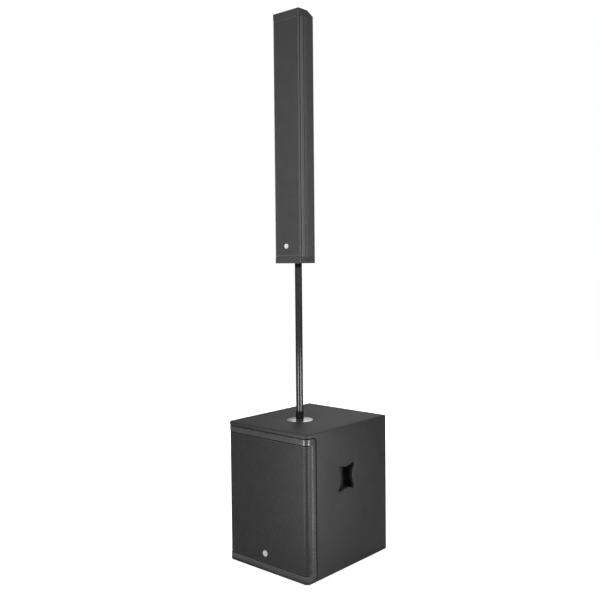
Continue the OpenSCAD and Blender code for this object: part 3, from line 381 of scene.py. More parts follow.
MATERIALS = {
    "cabinet_paint": sprayed_paint("sprayed_cabinet_paint", (0.026, 0.026, 0.027)),
    "baffle_paint": painted_board("flat_black_board", (0.018, 0.018, 0.019)),
    "bare_plywood": plywood("birch_ply", (0.55, 0.40, 0.24)),
    "frame_plastic": moulded("bezel_moulding", (0.050, 0.050, 0.052), 0.25),
    "grille_steel": powder_coat("grille_coat", (0.036, 0.036, 0.037), 0.45, 0.5 * MM,
                                specular=0.25),
    "grille_foam": open_foam("black_foam", (0.016, 0.016, 0.016)),
    "badge_enamel": enamel("pale_enamel", (0.50, 0.50, 0.50)),
    "cast_frame": cast_metal("painted_casting", (0.05, 0.05, 0.052)),
    "motor_steel": powder_coat("coated_steel", (0.03, 0.03, 0.032), 0.38),
    "surround_cloth": rubber("treated_cloth", (0.02, 0.02, 0.02)),
    "cone_paper": pressed_paper("cone_pulp", (0.026, 0.026, 0.027)),
    "coil_copper": wound_copper("enamelled_wire", (0.72, 0.34, 0.16)),
    "spider_cloth": woven("resin_cloth", (0.50, 0.32, 0.11)),
    "black_screws": powder_coat("black_zinc", (0.02, 0.02, 0.02), 0.35, 0.3 * MM),
    "port_plastic": moulded("port_moulding", (0.022, 0.022, 0.023), 0.45),
    "cup_plastic": moulded("cup_moulding", (0.010, 0.010, 0.010), 0.6, 0.12 * MM, 1.0 * MM),
    "socket_steel": turned_steel("turned_plate", (0.50, 0.50, 0.51)),
    "zinc_screws": zinc("zinc_plate", (0.55, 0.55, 0.56)),
    "foot_rubber": rubber("foot_rubber", (0.014, 0.014, 0.014)),
    "amp_panel": powder_coat("panel_coat", (0.018, 0.018, 0.019), 0.5, 0.9 * MM, 0.08 * MM),
    "sink_aluminium": anodised("black_anodised", (0.03, 0.03, 0.032)),
    "board_laminate": circuit_board("board_mask", (0.03, 0.16, 0.08)),
    "connector_plastic": moulded("connector_moulding", (0.028, 0.028, 0.030), 0.4, 0.03 * MM),
    "rocker_plastic": moulded("rocker_moulding", (0.36, 0.02, 0.02), 0.25, 0.01 * MM),
    "knob_plastic": moulded("soft_touch", (0.022, 0.022, 0.024), 0.62, 0.03 * MM),
    "lamp_lens": lamp("lit_lens", (0.10, 0.75, 0.20)),
    "wadding": fibre("polyester_wadding", (0.50, 0.50, 0.47)),
    "bearing_nylon": moulded("nylon", (0.05, 0.05, 0.05), 0.45, 0.03 * MM),
    "pole_paint": powder_coat("pole_coat", (0.020, 0.020, 0.021), 0.20, 1.2 * MM, 0.01 * MM),
    # black collar plastic, made darker than real black plastic: partly painted shade at the foot of
    # the pole
    "pole_plastic": moulded("collar_black_and_painted_shade", (0.004, 0.004, 0.004), 0.5, specular=0.12),
    "column_paint": powder_coat("column_coat", (0.056, 0.056, 0.058), 0.5, 1.0 * MM, 0.10 * MM),
    # lighter anodised rails; their pale tone is partly painted highlight for the bright strip along
    # the column's side
    "rail_paint": anodised("rail_anodised_and_painted_highlight", (0.18, 0.18, 0.185)),
    "cap_plastic": moulded("cap_moulding", (0.044, 0.044, 0.046), 0.36),
}
COLUMN_GRILLE_COAT = powder_coat("column_grille_coat", (0.056, 0.056, 0.058), 0.42, 0.5 * MM)
COLUMN_CLOTH = woven("grille_cloth", (0.036, 0.036, 0.036))


def dress_frame():
    """Gives every CAD node the material of its slot."""
    for node, obj in NODES.items():
        obj.data.materials.clear()
        obj.data.materials.append(MATERIALS[SLOT_OF[node]])


# ---------------------------------------------------------------- mesh helpers

def add_piece(name, bm, node, stands_for=(), smooth=38, look=None):
    """Links a mesh as a piece that rides with node's body and takes node's material slot."""
    mesh = bpy.data.meshes.new(name)
    bmesh.ops.recalc_face_normals(bm, faces=bm.faces)
    bm.to_mesh(mesh)
    bm.free()
    return add_mesh(name, mesh, node, stands_for, smooth, look)


def add_mesh(name, mesh, node, stands_for=(), smooth=38, look=None):
    """The same for a finished mesh. Edges sharper than smooth degrees stay sharp."""
    for face in mesh.polygons:
        face.use_smooth = True
    mesh.set_sharp_from_angle(angle=math.radians(smooth))
    obj = bpy.data.objects.new(name, mesh)
    bpy.context.scene.collection.objects.link(obj)
    mesh.materials.clear()
    mesh.materials.append(look or MATERIALS[SLOT_OF[node]])
    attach(obj, BODY_OF[node])
    if stands_for:
        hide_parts(*stands_for)
    return obj


def cad_bmesh(node):
    """A CAD node's mesh with its flat faces made whole."""
    bm = bmesh.new()
    bm.from_mesh(NODES[node].data)
    bmesh.ops.remove_doubles(bm, verts=bm.verts, dist=2e-6)
    bmesh.ops.dissolve_limit(bm, angle_limit=math.radians(1), verts=bm.verts, edges=bm.edges,
                             use_dissolve_boundaries=False, delimit=set())
    return bm


def round_edges(bm, width, segments):
    """Rounds every edge whose faces meet at more than 35 degrees."""
    sharp = math.radians(35)
    edges = [e for e in bm.edges if len(e.link_faces) == 2 and e.calc_face_angle() > sharp]
    bmesh.ops.bevel(bm, geom=edges, offset=width, segments=segments, profile=0.5,
                    affect="EDGES", clamp_overlap=True)
    return bm


def soften(node, name, width, segments):
    """Stands in for a CAD node with the same shape, its sharp edges rounded."""
    return add_piece(name, round_edges(cad_bmesh(node), width, segments), node, (node,))


def arc(centre, radius, start, end, steps):
    """Points on an arc, angles in degrees."""
    points = []
    for i in range(steps + 1):
        a = math.radians(start + (end - start) * i / steps)
        points.append((centre[0] + radius * math.cos(a), centre[1] + radius * math.sin(a)))
    return points


def prism(outline, place):
    """Closed prism between two copies of an outline; place(u, v, end) gives each corner."""
    bm = bmesh.new()
    rings = [[bm.verts.new(place(u, v, end)) for u, v in outline] for end in (0, 1)]
    count = len(outline)
    bm.faces.new(rings[0])
    bm.faces.new(list(reversed(rings[1])))
    for i in range(count):
        j = (i + 1) % count
        bm.faces.new((rings[0][j], rings[0][i], rings[1][i], rings[1][j]))
    bmesh.ops.recalc_face_normals(bm, faces=bm.faces)
    return bm


def box_bmesh(lo, hi):
    """Block between two opposite corners."""
    corners = [(lo[0], lo[1]), (hi[0], lo[1]), (hi[0], hi[1]), (lo[0], hi[1])]
    return prism(corners, lambda u, v, end: (u, v, (lo[2], hi[2])[end]))


def hidden_object(bm):
    """An object for a Boolean cut, deleted once the cut is made."""
    mesh = bpy.data.meshes.new("cutter")
    bm.to_mesh(mesh)
    bm.free()
    obj = bpy.data.objects.new("cutter", mesh)
    bpy.context.scene.collection.objects.link(obj)
    return obj


def carve(bm, cutters):
    """bm with every cutter's volume taken away, as a new mesh."""
    body = hidden_object(bm)
    tools = [hidden_object(c) for c in cutters]
    for tool in tools:
        mod = body.modifiers.new("cut", "BOOLEAN")
        mod.operation = "DIFFERENCE"
        mod.solver = "EXACT"
        mod.object = tool
    graph = bpy.context.evaluated_depsgraph_get()
    mesh = bpy.data.meshes.new_from_object(body.evaluated_get(graph))
    for obj in (body, *tools):
        bpy.data.objects.remove(obj)
    return mesh


def lathe(profile, centre, axis="Z", steps=96):
    """Turns a closed profile of (radius, height) about an axis through centre."""
    bm = bmesh.new()
    rings = []
    for r, h in profile:
        ring = []
        for i in range(steps):
            a = 2 * math.pi * i / steps
            u, v = r * math.cos(a), r * math.sin(a)
            p = (u, v, h) if axis == "Z" else (u, h, v)
            ring.append(bm.verts.new(Vector(p) + Vector(centre)))
        rings.append(ring)
    for a, b in zip(rings, rings[1:] + rings[:1]):
        for i in range(steps):
            j = (i + 1) % steps
            bm.faces.new((a[i], a[j], b[j], b[i]))
    bmesh.ops.remove_doubles(bm, verts=bm.verts, dist=1e-7)
    on_axis = [e for e in bm.edges if not e.link_faces]
    bmesh.ops.delete(bm, geom=on_axis, context="EDGES")
    return bm


# ---------------------------------------------------------------- perforated grilles

class Bend:
    """A path across the front of a box, round both front corners and a little way back."""

    def __init__(self, half, front, radius, depth):
        """half: half the box's width; front: its front's y; depth: how far back the path runs."""
        self.half, self.front, self.radius = half, front, radius
        self.turn = math.pi / 2 if depth >= radius else math.acos(1 - depth / radius)
        self.side = max(0.0, depth - radius)
        self.flat = 2 * (half - radius)
        self.length = self.flat + 2 * (self.turn * radius + self.side)

    def at(self, s, inward=0.0):
        """Plan point at arc length s from the middle, moved inward."""
        sign = 1 if s >= 0 else -1
        s = abs(s) - self.flat / 2
        r = self.radius - inward
        cx = self.half - self.radius
        cy = self.front + self.radius
        if s <= 0:
            return sign * (cx + s), self.front + inward
        angle = min(s / self.radius, self.turn)
        x = cx + r * math.sin(angle)
        y = cy - r * math.cos(angle)
        rest = s - self.turn * self.radius
        return sign * x, y + max(0.0, rest)


def perforated_sheet(bend, z0, z1, pitch, hole, thick, border):
    """Steel sheet with staggered six-sided holes, bent round the corners, closed and solid."""
    row_h = pitch * math.sqrt(3) / 2
    cols = int((bend.length - 2 * border) / pitch)
    rows = int((z1 - z0 - 2 * border) / row_h)
    s0 = -cols * pitch / 2
    low = (z0 + z1) / 2 - rows * row_h / 2
    bm = bmesh.new()
    made = {}

    def vert(s, z, layer):
        key = (round(s * 1e6), round(z * 1e6), layer)
        if key not in made:
            x, y = bend.at(s, layer * thick)
            made[key] = bm.verts.new((x, y, z))
        return made[key]

    def sheet_face(corners):
        bm.faces.new([vert(s, z, 0) for s, z in corners])
        bm.faces.new([vert(s, z, 1) for s, z in reversed(corners)])

    def wall(a, b):
        bm.faces.new((vert(*a, 0), vert(*a, 1), vert(*b, 1), vert(*b, 0)))

    # one cell to a hole, and half cells where an odd row starts and ends
    angles = [math.radians(a) for a in (210, 270, 330, 30, 90, 150)]
    for row in range(rows):
        za = low + row * row_h
        zb = za + row_h
        shift = (row % 2) * pitch / 2
        for col in range(cols - row % 2):
            sa = s0 + shift + col * pitch
            sm, sb = sa + pitch / 2, sa + pitch
            zm = (za + zb) / 2
            rim = [(sa, za), (sm, za), (sb, za), (sb, zb), (sm, zb), (sa, zb)]
            edge = [(sm + hole / 2 * math.cos(a), zm + hole / 2 * math.sin(a)) for a in angles]
            for i in range(6):
                j = (i + 1) % 6
                sheet_face([rim[i], rim[j], edge[j], edge[i]])
                wall(edge[j], edge[i])
        if row % 2:
            for sa in (s0, s0 + (cols - 0.5) * pitch):
                sheet_face([(sa, za), (sa + pitch / 2, za), (sa + pitch / 2, zb), (sa, zb)])
    # unperforated borders, cut fine enough to follow the bend
    cuts = 8
    left, right = -bend.length / 2, bend.length / 2
    s_end, z_end = s0 + cols * pitch, low + rows * row_h
    lefts = [left + (s0 - left) * i / cuts for i in range(cuts)]
    rights = [right - (right - s_end) * i / cuts for i in reversed(range(cuts))]
    levels = [low + i * row_h for i in range(rows + 1)]
    for za, zb in zip([z0] + levels, levels + [z1]):
        for line in (lefts + [s0], [s_end] + rights):
            for sa, sb in zip(line, line[1:]):
                sheet_face([(sa, za), (sb, za), (sb, zb), (sa, zb)])
        wall((left, zb), (left, za))
        wall((right, za), (right, zb))
    steps = [s0 + i * pitch / 2 for i in range(2 * cols + 1)]
    for za, zb in ((z0, low), (z_end, z1)):
        for sa, sb in zip(steps, steps[1:]):
            sheet_face([(sa, za), (sb, za), (sb, zb), (sa, zb)])
    edges = lefts + steps + rights
    for sa, sb in zip(edges, edges[1:]):
        wall((sa, z0), (sb, z0))
        wall((sb, z1), (sa, z1))
    return bm


def grille_cloth(name, bend, z0, z1, gap, node, look=None):
    """Acoustic cloth stretched behind a grille, gap behind the bend's outer face."""
    steps = 48
    ss = [bend.length * (i / steps - 0.5) for i in range(steps + 1)]
    outline = [bend.at(s, gap) for s in ss] + [bend.at(s, gap + CLOTH) for s in reversed(ss)]
    add_piece(name, prism(outline, lambda u, v, end: (u, v, (z0, z1)[end])), node, look=look)


def sub_grille():
    """Grille that fills the subwoofer's front and wraps both front corners."""
    lo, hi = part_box("sub_grille")
    bend = Bend(hi.x, lo.y, FRONT_TURN - (CAB_HI.x - hi.x), hi.y - lo.y)
    bm = perforated_sheet(bend, lo.z, hi.z, pitch=8.6 * MM, hole=6.6 * MM, thick=1.5 * MM,
                          border=3 * MM)
    add_piece("perforated_sub_grille", bm, "sub_grille", ("sub_grille",))
    inset = 1 * MM
    grille_cloth("sub_grille_cloth", bend, lo.z + inset, hi.z - inset, 1.6 * MM, "sub_grille_foam")


def column_grille():
    """Grille across the column's front; its turned sides have no holes."""
    lo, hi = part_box("column_grille")
    bend = Bend(hi.x, lo.y, COLUMN_TURN - 1 * MM, hi.y - lo.y)
    border = (bend.length - bend.flat) / 2 + 1 * MM
    bm = perforated_sheet(bend, lo.z, hi.z, pitch=7.6 * MM, hole=5.9 * MM, thick=1.2 * MM,
                          border=border)
    add_piece("perforated_column_grille", bm, "column_grille", ("column_grille",),
              look=COLUMN_GRILLE_COAT)
    tucked = 1.8 * MM
    grille_cloth("column_grille_cloth", bend, lo.z - tucked, hi.z + tucked, 1.3 * MM,
                 "column_grille_foam", COLUMN_CLOTH)


# ---------------------------------------------------------------- cabinet

def grip_outline(half_w, half_h, bite_w, bite_h, tip):
    """Four-pointed opening, sides curved in by a bite and points rounded by tip, anticlockwise."""
    def side_circle(reach, half, bite):
        """How far out the centre of a side's circle lies, and its radius."""
        chord = half - tip
        radius = (chord * chord + bite * bite) / (2 * bite) - tip
        return reach - bite + radius, radius

    points = []
    for quarter in range(4):
        wide = quarter % 2 == 0
        reach, half = (half_w, half_h) if wide else (half_h, half_w)
        bite, next_bite = (bite_w, bite_h) if wide else (bite_h, bite_w)
        far, radius = side_circle(reach, half, bite)
        next_far = side_circle(half, reach, next_bite)[0]
        corner = (reach - tip, half - tip)
        meet = math.degrees(math.atan2(corner[1], corner[0] - far))
        leave = math.degrees(math.atan2(next_far - corner[1], -corner[0]))
        side = arc((far, 0), radius, 360 - meet, meet, 20)[:-1]
        side += arc(corner, tip, meet - 180, leave, 10)[:-1]
        turn = math.radians(90 * quarter)
        for u, v in side:
            points.append((u * math.cos(turn) - v * math.sin(turn),
                           u * math.sin(turn) + v * math.cos(turn)))
    return points


def grown(outline, distance):
    """The outline moved outward along its own normals."""
    count = len(outline)
    points = []
    for i in range(count):
        before, after = outline[i - 1], outline[(i + 1) % count]
        along = Vector((after[0] - before[0], after[1] - before[1])).normalized()
        points.append((outline[i][0] + along.y * distance, outline[i][1] - along.x * distance))
    return points


def flared_cutter(outline, centre, side, lip, deep):
    """Cutter for an opening in a side panel whose outer edge is rounded over by lip."""
    bm = bmesh.new()
    face_x = CAB_HI.x
    levels = [(-deep, 0.0)]
    for i in range(7):
        a = math.radians(90 * i / 6)
        levels.append((-lip + lip * math.sin(a), lip * (1 - math.cos(a))))
    clear = 2 * MM
    levels.append((clear, lip))
    rings = []
    for depth, out in levels:
        x = side * (face_x + depth)
        rim = grown(outline, out)
        rings.append([bm.verts.new((x, centre.y + u, centre.z + v)) for u, v in rim])
    count = len(outline)
    for a, b in zip(rings, rings[1:]):
        for i in range(count):
            j = (i + 1) % count
            bm.faces.new((a[i], a[j], b[j], b[i]))
    bm.faces.new(rings[0])
    bm.faces.new(list(reversed(rings[-1])))
    bmesh.ops.recalc_face_normals(bm, faces=bm.faces)
    return bm


def cabinet_block():
    """The cabinet's outside as one block: round front corners, eased top, bottom and back."""
    corner = FRONT_TURN
    back = 3 * MM
    plan = arc((CAB_LO.x + corner, CAB_LO.y + corner), corner, 180, 270, 12)
    plan += arc((CAB_HI.x - corner, CAB_LO.y + corner), corner, 270, 360, 12)
    plan += arc((CAB_HI.x - back, CAB_HI.y - back), back, 0, 90, 4)
    plan += arc((CAB_LO.x + back, CAB_HI.y - back), back, 90, 180, 4)
    body = prism(plan, lambda u, v, end: (u, v, (CAB_LO.z, CAB_HI.z)[end]))
    top = [e for e in body.edges if all(v.co.z > CAB_HI.z - 1e-6 for v in e.verts)]
    bottom = [e for e in body.edges if all(v.co.z < CAB_LO.z + 1e-6 for v in e.verts)]
    bmesh.ops.bevel(body, geom=top, offset=7 * MM, segments=5, profile=0.5, affect="EDGES",
                    clamp_overlap=False)
    bmesh.ops.bevel(body, geom=bottom, offset=3 * MM, segments=2, profile=0.5, affect="EDGES",
                    clamp_overlap=False)
    return body


def front_cutters(over):
    """The hollow inside, open at the front, and the round-cornered room for the bezel."""
    frame_lo, frame_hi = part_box("front_frame")
    board_lo, board_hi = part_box("rear_panel")
    void = box_bmesh((board_lo.x, CAB_LO.y - over, board_lo.z),
                     (board_hi.x, board_lo.y, board_hi.z))
    turn = 23 * MM      # radius of the corners where the bezel meets the side
    notch_back, notch_top = frame_hi.y, board_hi.z
    notch = [(CAB_LO.y - over, frame_lo.z)]
    notch += arc((notch_back - turn, frame_lo.z + turn), turn, 270, 360, 10)
    notch += arc((notch_back - turn, notch_top - turn), turn, 0, 90, 10)
    notch += [(CAB_LO.y - over, notch_top)]
    wide = CAB_HI.x + over
    return [void, prism(notch, lambda u, v, end: ((-wide, wide)[end], u, v))]


def amplifier_cutters(over, gap):
    """The opening in the back and the shallow rebate that the amplifier's plate lies in."""
    board_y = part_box("rear_panel")[0].y
    lo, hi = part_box("amp_plate")
    rim, rebate = 10 * MM, 2 * MM
    hole = box_bmesh((lo.x + rim - gap, board_y - over, lo.z + rim - gap),
                     (hi.x - rim + gap, CAB_HI.y + over, hi.z - rim + gap))
    seat = box_bmesh((lo.x - gap, CAB_HI.y - rebate, lo.z - gap),
                     (hi.x + gap, CAB_HI.y + over, hi.z + gap))
    return [hole, seat]


def plate_cutters(over, gap):
    """The pole plate's round seat in the top and the hole for its hub."""
    under_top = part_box("rear_panel")[1].z
    lo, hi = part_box("pole_socket")
    centre = (0, POLE_AXIS.y)
    seat_r = (hi.x - lo.x) / 2 + gap
    hub_r = 20.2 * MM
    seat_z = (hi.z - PLATE_EDGE, CAB_HI.z + over)
    hub_z = (under_top - over, CAB_HI.z)
    return [prism(arc(centre, seat_r, 0, 354, 59), lambda u, v, end: (u, v, seat_z[end])),
            prism(arc(centre, hub_r, 0, 354, 59), lambda u, v, end: (u, v, hub_z[end]))]


def painted_cabinet():
    """Carcass and rear panel as one painted skin, with eased edges and every opening cut."""
    over, gap = 20 * MM, 0.2 * MM
    cup_lo, cup_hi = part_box("handle_cups")
    grip = Vector((0, (cup_lo.y + cup_hi.y) / 2, (cup_lo.z + cup_hi.z) / 2))
    outline = grip_outline(half_w=60 * MM, half_h=64 * MM, bite_w=16 * MM, bite_h=12 * MM,
                           tip=11 * MM)
    cutters = front_cutters(over) + amplifier_cutters(over, gap) + plate_cutters(over, gap)
    for side in (-1, 1):
        cutters.append(flared_cutter(outline, grip, side, lip=2 * MM, deep=40 * MM))
    mesh = carve(cabinet_block(), cutters)
    obj = add_mesh("painted_cabinet", mesh, "cabinet_shell", ("cabinet_shell", "rear_panel"), 32)
    painted_shade_in_grips(obj, grip)


def painted_shade_in_grips(obj, grip):
    """The cut edges of the grip openings get the cups' black material as painted shade, so the
    openings read dark inside.
    """
    reach_y, reach_z, panel_x = 75 * MM, 80 * MM, 200 * MM
    obj.data.materials.append(MATERIALS["cup_plastic"])
    for face in obj.data.polygons:
        near = abs(face.center.y - grip.y) < reach_y and abs(face.center.z - grip.z) < reach_z
        if near and abs(face.center.x) > panel_x and abs(face.normal.x) < 0.9:
            # painted shade: the walls of the opening are coloured black where shade falls
            face.material_index = 1


# CAD node: name of the piece that stands in for it, radius of its edges in mm
SOFTENED = {
    "front_frame": ("front_bezel", 2.6), "column_body": ("column_shell", 1.2),
    "column_top_cap": ("column_top_moulding", 1.2),
    "column_bottom_cap": ("column_bottom_moulding", 1.2),
    "column_rails": ("column_side_rails", 3), "handle_cups": ("grip_cups", 2.5),
    "baffle": ("front_board", 0.6), "window_brace": ("carcass_brace", 1.0),
    "woofer_basket": ("bass_driver_frame", 1.0), "woofer_magnet": ("bass_motor", 1.2),
    "woofer_bolts": ("driver_bolts", 0.4), "port_tubes": ("bass_ports", 0.8),
    "socket_screws": ("plate_screws", 0.15),
    "rubber_feet": ("feet", 1.2), "foot_screws": ("feet_screws", 0.2),
    "amp_plate": ("rear_plate", 0.7), "heatsink": ("finned_heatsink", 0.5),
    "xlr_sockets": ("signal_sockets", 0.35), "speaker_sockets": ("link_sockets", 0.35),
    "mains_inlet": ("power_inlet", 0.4), "fuse_drawer": ("fuse_carrier", 0.4),
    "power_rocker": ("rocker_cap", 0.6), "phase_button": ("button_cap", 0.5),
    "sub_level_knob": ("sub_level_dial", 0.4), "column_level_knob": ("column_level_dial", 0.4),
    "crossover_knob": ("crossover_dial", 0.4), "power_transformer": ("toroid", 1.5),
    "pole_washer": ("lower_washer", 0.3), "swivel_washer": ("upper_washer", 0.4),
    "pole_collar": ("grip_collar", 0.5), "column_baffle": ("column_front_board", 0.5),
    "column_baskets": ("small_driver_frames", 0.5), "column_magnets": ("small_driver_motors", 0.6),
    "compression_driver": ("treble_driver", 0.8), "column_jack_plate": ("column_link_plate", 0.5),
    "column_jacks": ("column_link_sockets", 0.35),
}


def softened_pieces():
    """Every CAD node that only needs its edges rounded."""
    for node, (name, width) in SOFTENED.items():
        soften(node, name, width * MM, 4 if width > 2 else 3)


# ---------------------------------------------------------------- turned pieces

def chamfered_tube(outer, inner, z0, z1, ease):
    """Profile of a tube with its outer edges eased."""
    return [(inner, z0), (outer - ease, z0), (outer, z0 + ease), (outer, z1 - ease),
            (outer - ease, z1), (inner, z1)]


def pole_radius():
    """Outer radius of the pole's tube."""
    lo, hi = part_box("pole_tube")
    return (hi.x - lo.x) / 2


def pole_shaft():
    """The tube between the collar and the end plug."""
    r = pole_radius()
    profile = chamfered_tube(r, r - TUBE_WALL, POLE_LO.z, POLE_HI.z, 0.6 * MM)
    add_piece("pole_shaft", lathe(profile, POLE_LINE), "pole_tube", ("pole_tube",), 30)


def pole_end_plug():
    """Plug in the tube's upper end: a shoulder on the tube, a groove and a chamfered tip."""
    lo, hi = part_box("pole_top_plug")
    r = pole_radius()
    bore = r - TUBE_WALL - PLUG_PLAY
    end = POLE_HI.z
    profile = [(0, lo.z), (bore, lo.z), (bore, end), (r - 0.8 * MM, end), (r, end + 0.8 * MM),
               (r, end + 17 * MM), (r - 0.5 * MM, end + 17.6 * MM), (r - 0.5 * MM, end + 18.6 * MM),
               (r, end + 19.2 * MM), (r, hi.z - 3 * MM), (r - 0.9 * MM, hi.z - 1 * MM),
               (r - 2 * MM, hi.z), (0, hi.z)]
    add_piece("pole_end_plug", lathe(profile, POLE_LINE), "pole_top_plug", ("pole_top_plug",), 30)


def screw_sink(spot, top):
    """Cutter for a countersunk screw hole that opens at height top."""
    hole_r, head_r = 2.2 * MM, 5.4 * MM
    cone = [(0, top - 6 * MM), (hole_r, top - 6 * MM), (hole_r, top - 3.2 * MM), (head_r, top),
            (head_r, top + 2 * MM), (0, top + 2 * MM)]
    cut = lathe(cone, spot, steps=32)
    bmesh.ops.recalc_face_normals(cut, faces=cut.faces)
    return cut


def turned_socket():
    """Round steel plate with a hub below it, a bore for the stud and four screw holes."""
    lo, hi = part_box("pole_socket")
    plate_r, top = (hi.x - lo.x) / 2, hi.z
    hub_r, stud_r, bore_z, hub_z = 20 * MM, 10 * MM, top - 36 * MM, top - 46 * MM
    profile = [(stud_r, top), (stud_r + 1 * MM, top), (plate_r - 1.6 * MM, top),
               (plate_r - 0.6 * MM, top - 0.3 * MM), (plate_r, top - 1 * MM),
               (plate_r, top - PLATE_EDGE), (hub_r, top - PLATE_EDGE), (hub_r, hub_z + 1 * MM),
               (hub_r - 1 * MM, hub_z), (0, hub_z), (0, bore_z), (stud_r, bore_z)]
    body = lathe(profile, POLE_LINE, steps=128)
    bmesh.ops.recalc_face_normals(body, faces=body.faces)
    ring = plate_r - 15 * MM
    cuts = []
    for k in range(4):
        a = math.radians(45 + 90 * k)
        cuts.append(screw_sink((ring * math.cos(a), POLE_AXIS.y + ring * math.sin(a), 0), top))
    add_mesh("turned_socket", carve(body, cuts), "pole_socket", ("pole_socket",), 25)


def stud_core(root, lo_z, hi_z):
    """The stud's core, its flange under the tube and the plug inside the tube."""
    r = pole_radius()
    plug_r = r - TUBE_WALL - PLUG_PLAY
    flange_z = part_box("pole_washer")[1].z
    tip = 1 * MM
    profile = [(0, lo_z), (root - tip, lo_z), (root, lo_z + tip), (root, flange_z),
               (r, flange_z), (r, POLE_LO.z), (plug_r, POLE_LO.z), (plug_r, hi_z), (0, hi_z)]
    return lathe(profile, POLE_LINE)


def threaded_stud():
    """Stud with a coarse helical thread, its flange and the plug inside the tube."""
    lo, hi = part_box("pole_stud")
    plate_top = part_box("pole_socket")[1].z
    crest, root, pitch = 9.9 * MM, 8.5 * MM, 2.5 * MM
    sunk = root - 0.4 * MM              # where the ridge starts, inside the core
    foot, ridge = 1.2 * MM, 0.25 * MM   # half the ridge's width at its foot and at its crest
    steps, run_out = 48, 12
    bm = stud_core(root, lo.z, hi.z)
    last = int((plate_top - lo.z - 2 * MM) / pitch) * steps
    loops = []
    for i in range(last + 1):
        a = 2 * math.pi * i / steps
        z = lo.z + foot + pitch * i / steps
        ease = min(1.0, i / run_out, (last - i) / run_out)
        tall = sunk + (crest - sunk) * ease
        loop = []
        for radius, dz in ((sunk, -foot), (tall, -ridge), (tall, ridge), (sunk, foot)):
            place = (radius * math.cos(a), POLE_AXIS.y + radius * math.sin(a), z + dz)
            loop.append(bm.verts.new(place))
        loops.append(loop)
    for one, two in zip(loops, loops[1:]):
        for k in range(4):
            n = (k + 1) % 4
            bm.faces.new((one[k], one[n], two[n], two[k]))
    bm.faces.new(loops[0])
    bm.faces.new(list(reversed(loops[-1])))
    add_piece("threaded_stud", bm, "pole_stud", ("pole_stud",), 30)


def badges():
    """Plain round badges: a dished disc with a raised rim."""
    for node, name in (("sub_badge", "sub_round_badge"), ("column_badge", "column_round_badge")):
        lo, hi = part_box(node)
        r = (hi.x - lo.x) / 2
        back = ((lo.x + hi.x) / 2, hi.y, (lo.z + hi.z) / 2)
        profile = [(0, 0), (r - 0.4 * MM, 0), (r, -0.5 * MM), (r, -1.6 * MM),
                   (r - 0.5 * MM, -2.2 * MM), (r - 1.2 * MM, -2.4 * MM), (r - 2.2 * MM, -2.1 * MM),
                   (r - 3 * MM, -1.5 * MM), (r * 0.5, -1.2 * MM), (0, -1.1 * MM)]
        add_piece(name, lathe(profile, back, "Y", 64), node, (node,), 25)


# ---------------------------------------------------------------- marks on the amplifier panel

def flat_strip(bm, a, b, width, y0, y1):
    """Thin raised strip between two points (x, z) of the panel's face."""
    along = Vector((b[0] - a[0], b[1] - a[1])).normalized()
    side = Vector((-along.y, along.x)) * width / 2
    corners = [(a[0] + side.x, a[1] + side.y), (b[0] + side.x, b[1] + side.y),
               (b[0] - side.x, b[1] - side.y), (a[0] - side.x, a[1] - side.y)]
    rings = [[bm.verts.new((x, y, z)) for x, z in corners] for y in (y0, y1)]
    bm.faces.new(rings[0])
    bm.faces.new(list(reversed(rings[1])))
    for i in range(4):
        j = (i + 1) % 4
        bm.faces.new((rings[0][j], rings[0][i], rings[1][i], rings[1][j]))


def dial_ticks(bm, node, y0, y1):
    """Eleven ticks round a knob, over its 300 degrees of travel, every fifth one longer."""
    lo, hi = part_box(node)
    x, z, r = (lo.x + hi.x) / 2, (lo.z + hi.z) / 2, (hi.x - lo.x) / 2
    near = r + 1.8 * MM
    for i in range(11):
        a = math.radians(90 - 150 + 30 * i)
        far = near + (2.6 * MM if i % 5 else 4.2 * MM)
        flat_strip(bm, (x + near * math.cos(a), z + near * math.sin(a)),
                   (x + far * math.cos(a), z + far * math.sin(a)), 0.6 * MM, y0, y1)


def socket_frame(bm, node, y0, y1):
    """Line drawn round a group of sockets."""
    lo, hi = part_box(node)
    gap = 5 * MM
    x0, x1, z0, z1 = lo.x - gap, hi.x + gap, lo.z - gap, hi.z + gap
    corners = [(x0, z0), (x1, z0), (x1, z1), (x0, z1)]
    for a, b in zip(corners, corners[1:] + corners[:1]):
        flat_strip(bm, a, b, 0.5 * MM, y0, y1)


def panel_print():
    """Ticks, frames and dashes printed on the amplifier's panel, without any lettering."""
    face_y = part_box("heatsink")[0].y
    y0, y1 = face_y - 0.05 * MM, face_y + 0.15 * MM
    bm = bmesh.new()
    for node in ("sub_level_knob", "column_level_knob", "crossover_knob"):
        dial_ticks(bm, node, y0, y1)
    for node in ("xlr_sockets", "speaker_sockets", "mains_inlet"):
        socket_frame(bm, node, y0, y1)
    lo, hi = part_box("status_lights")
    for i in range(3):
        z = lo.z + 2.5 * MM + 12 * MM * i
        flat_strip(bm, (hi.x + 3 * MM, z), (hi.x + 9 * MM, z), 0.7 * MM, y0, y1)
    obj = add_piece("panel_print", bm, "amp_plate", look=MATERIALS["badge_enamel"])


# ---------------------------------------------------------------- stage, light and camera

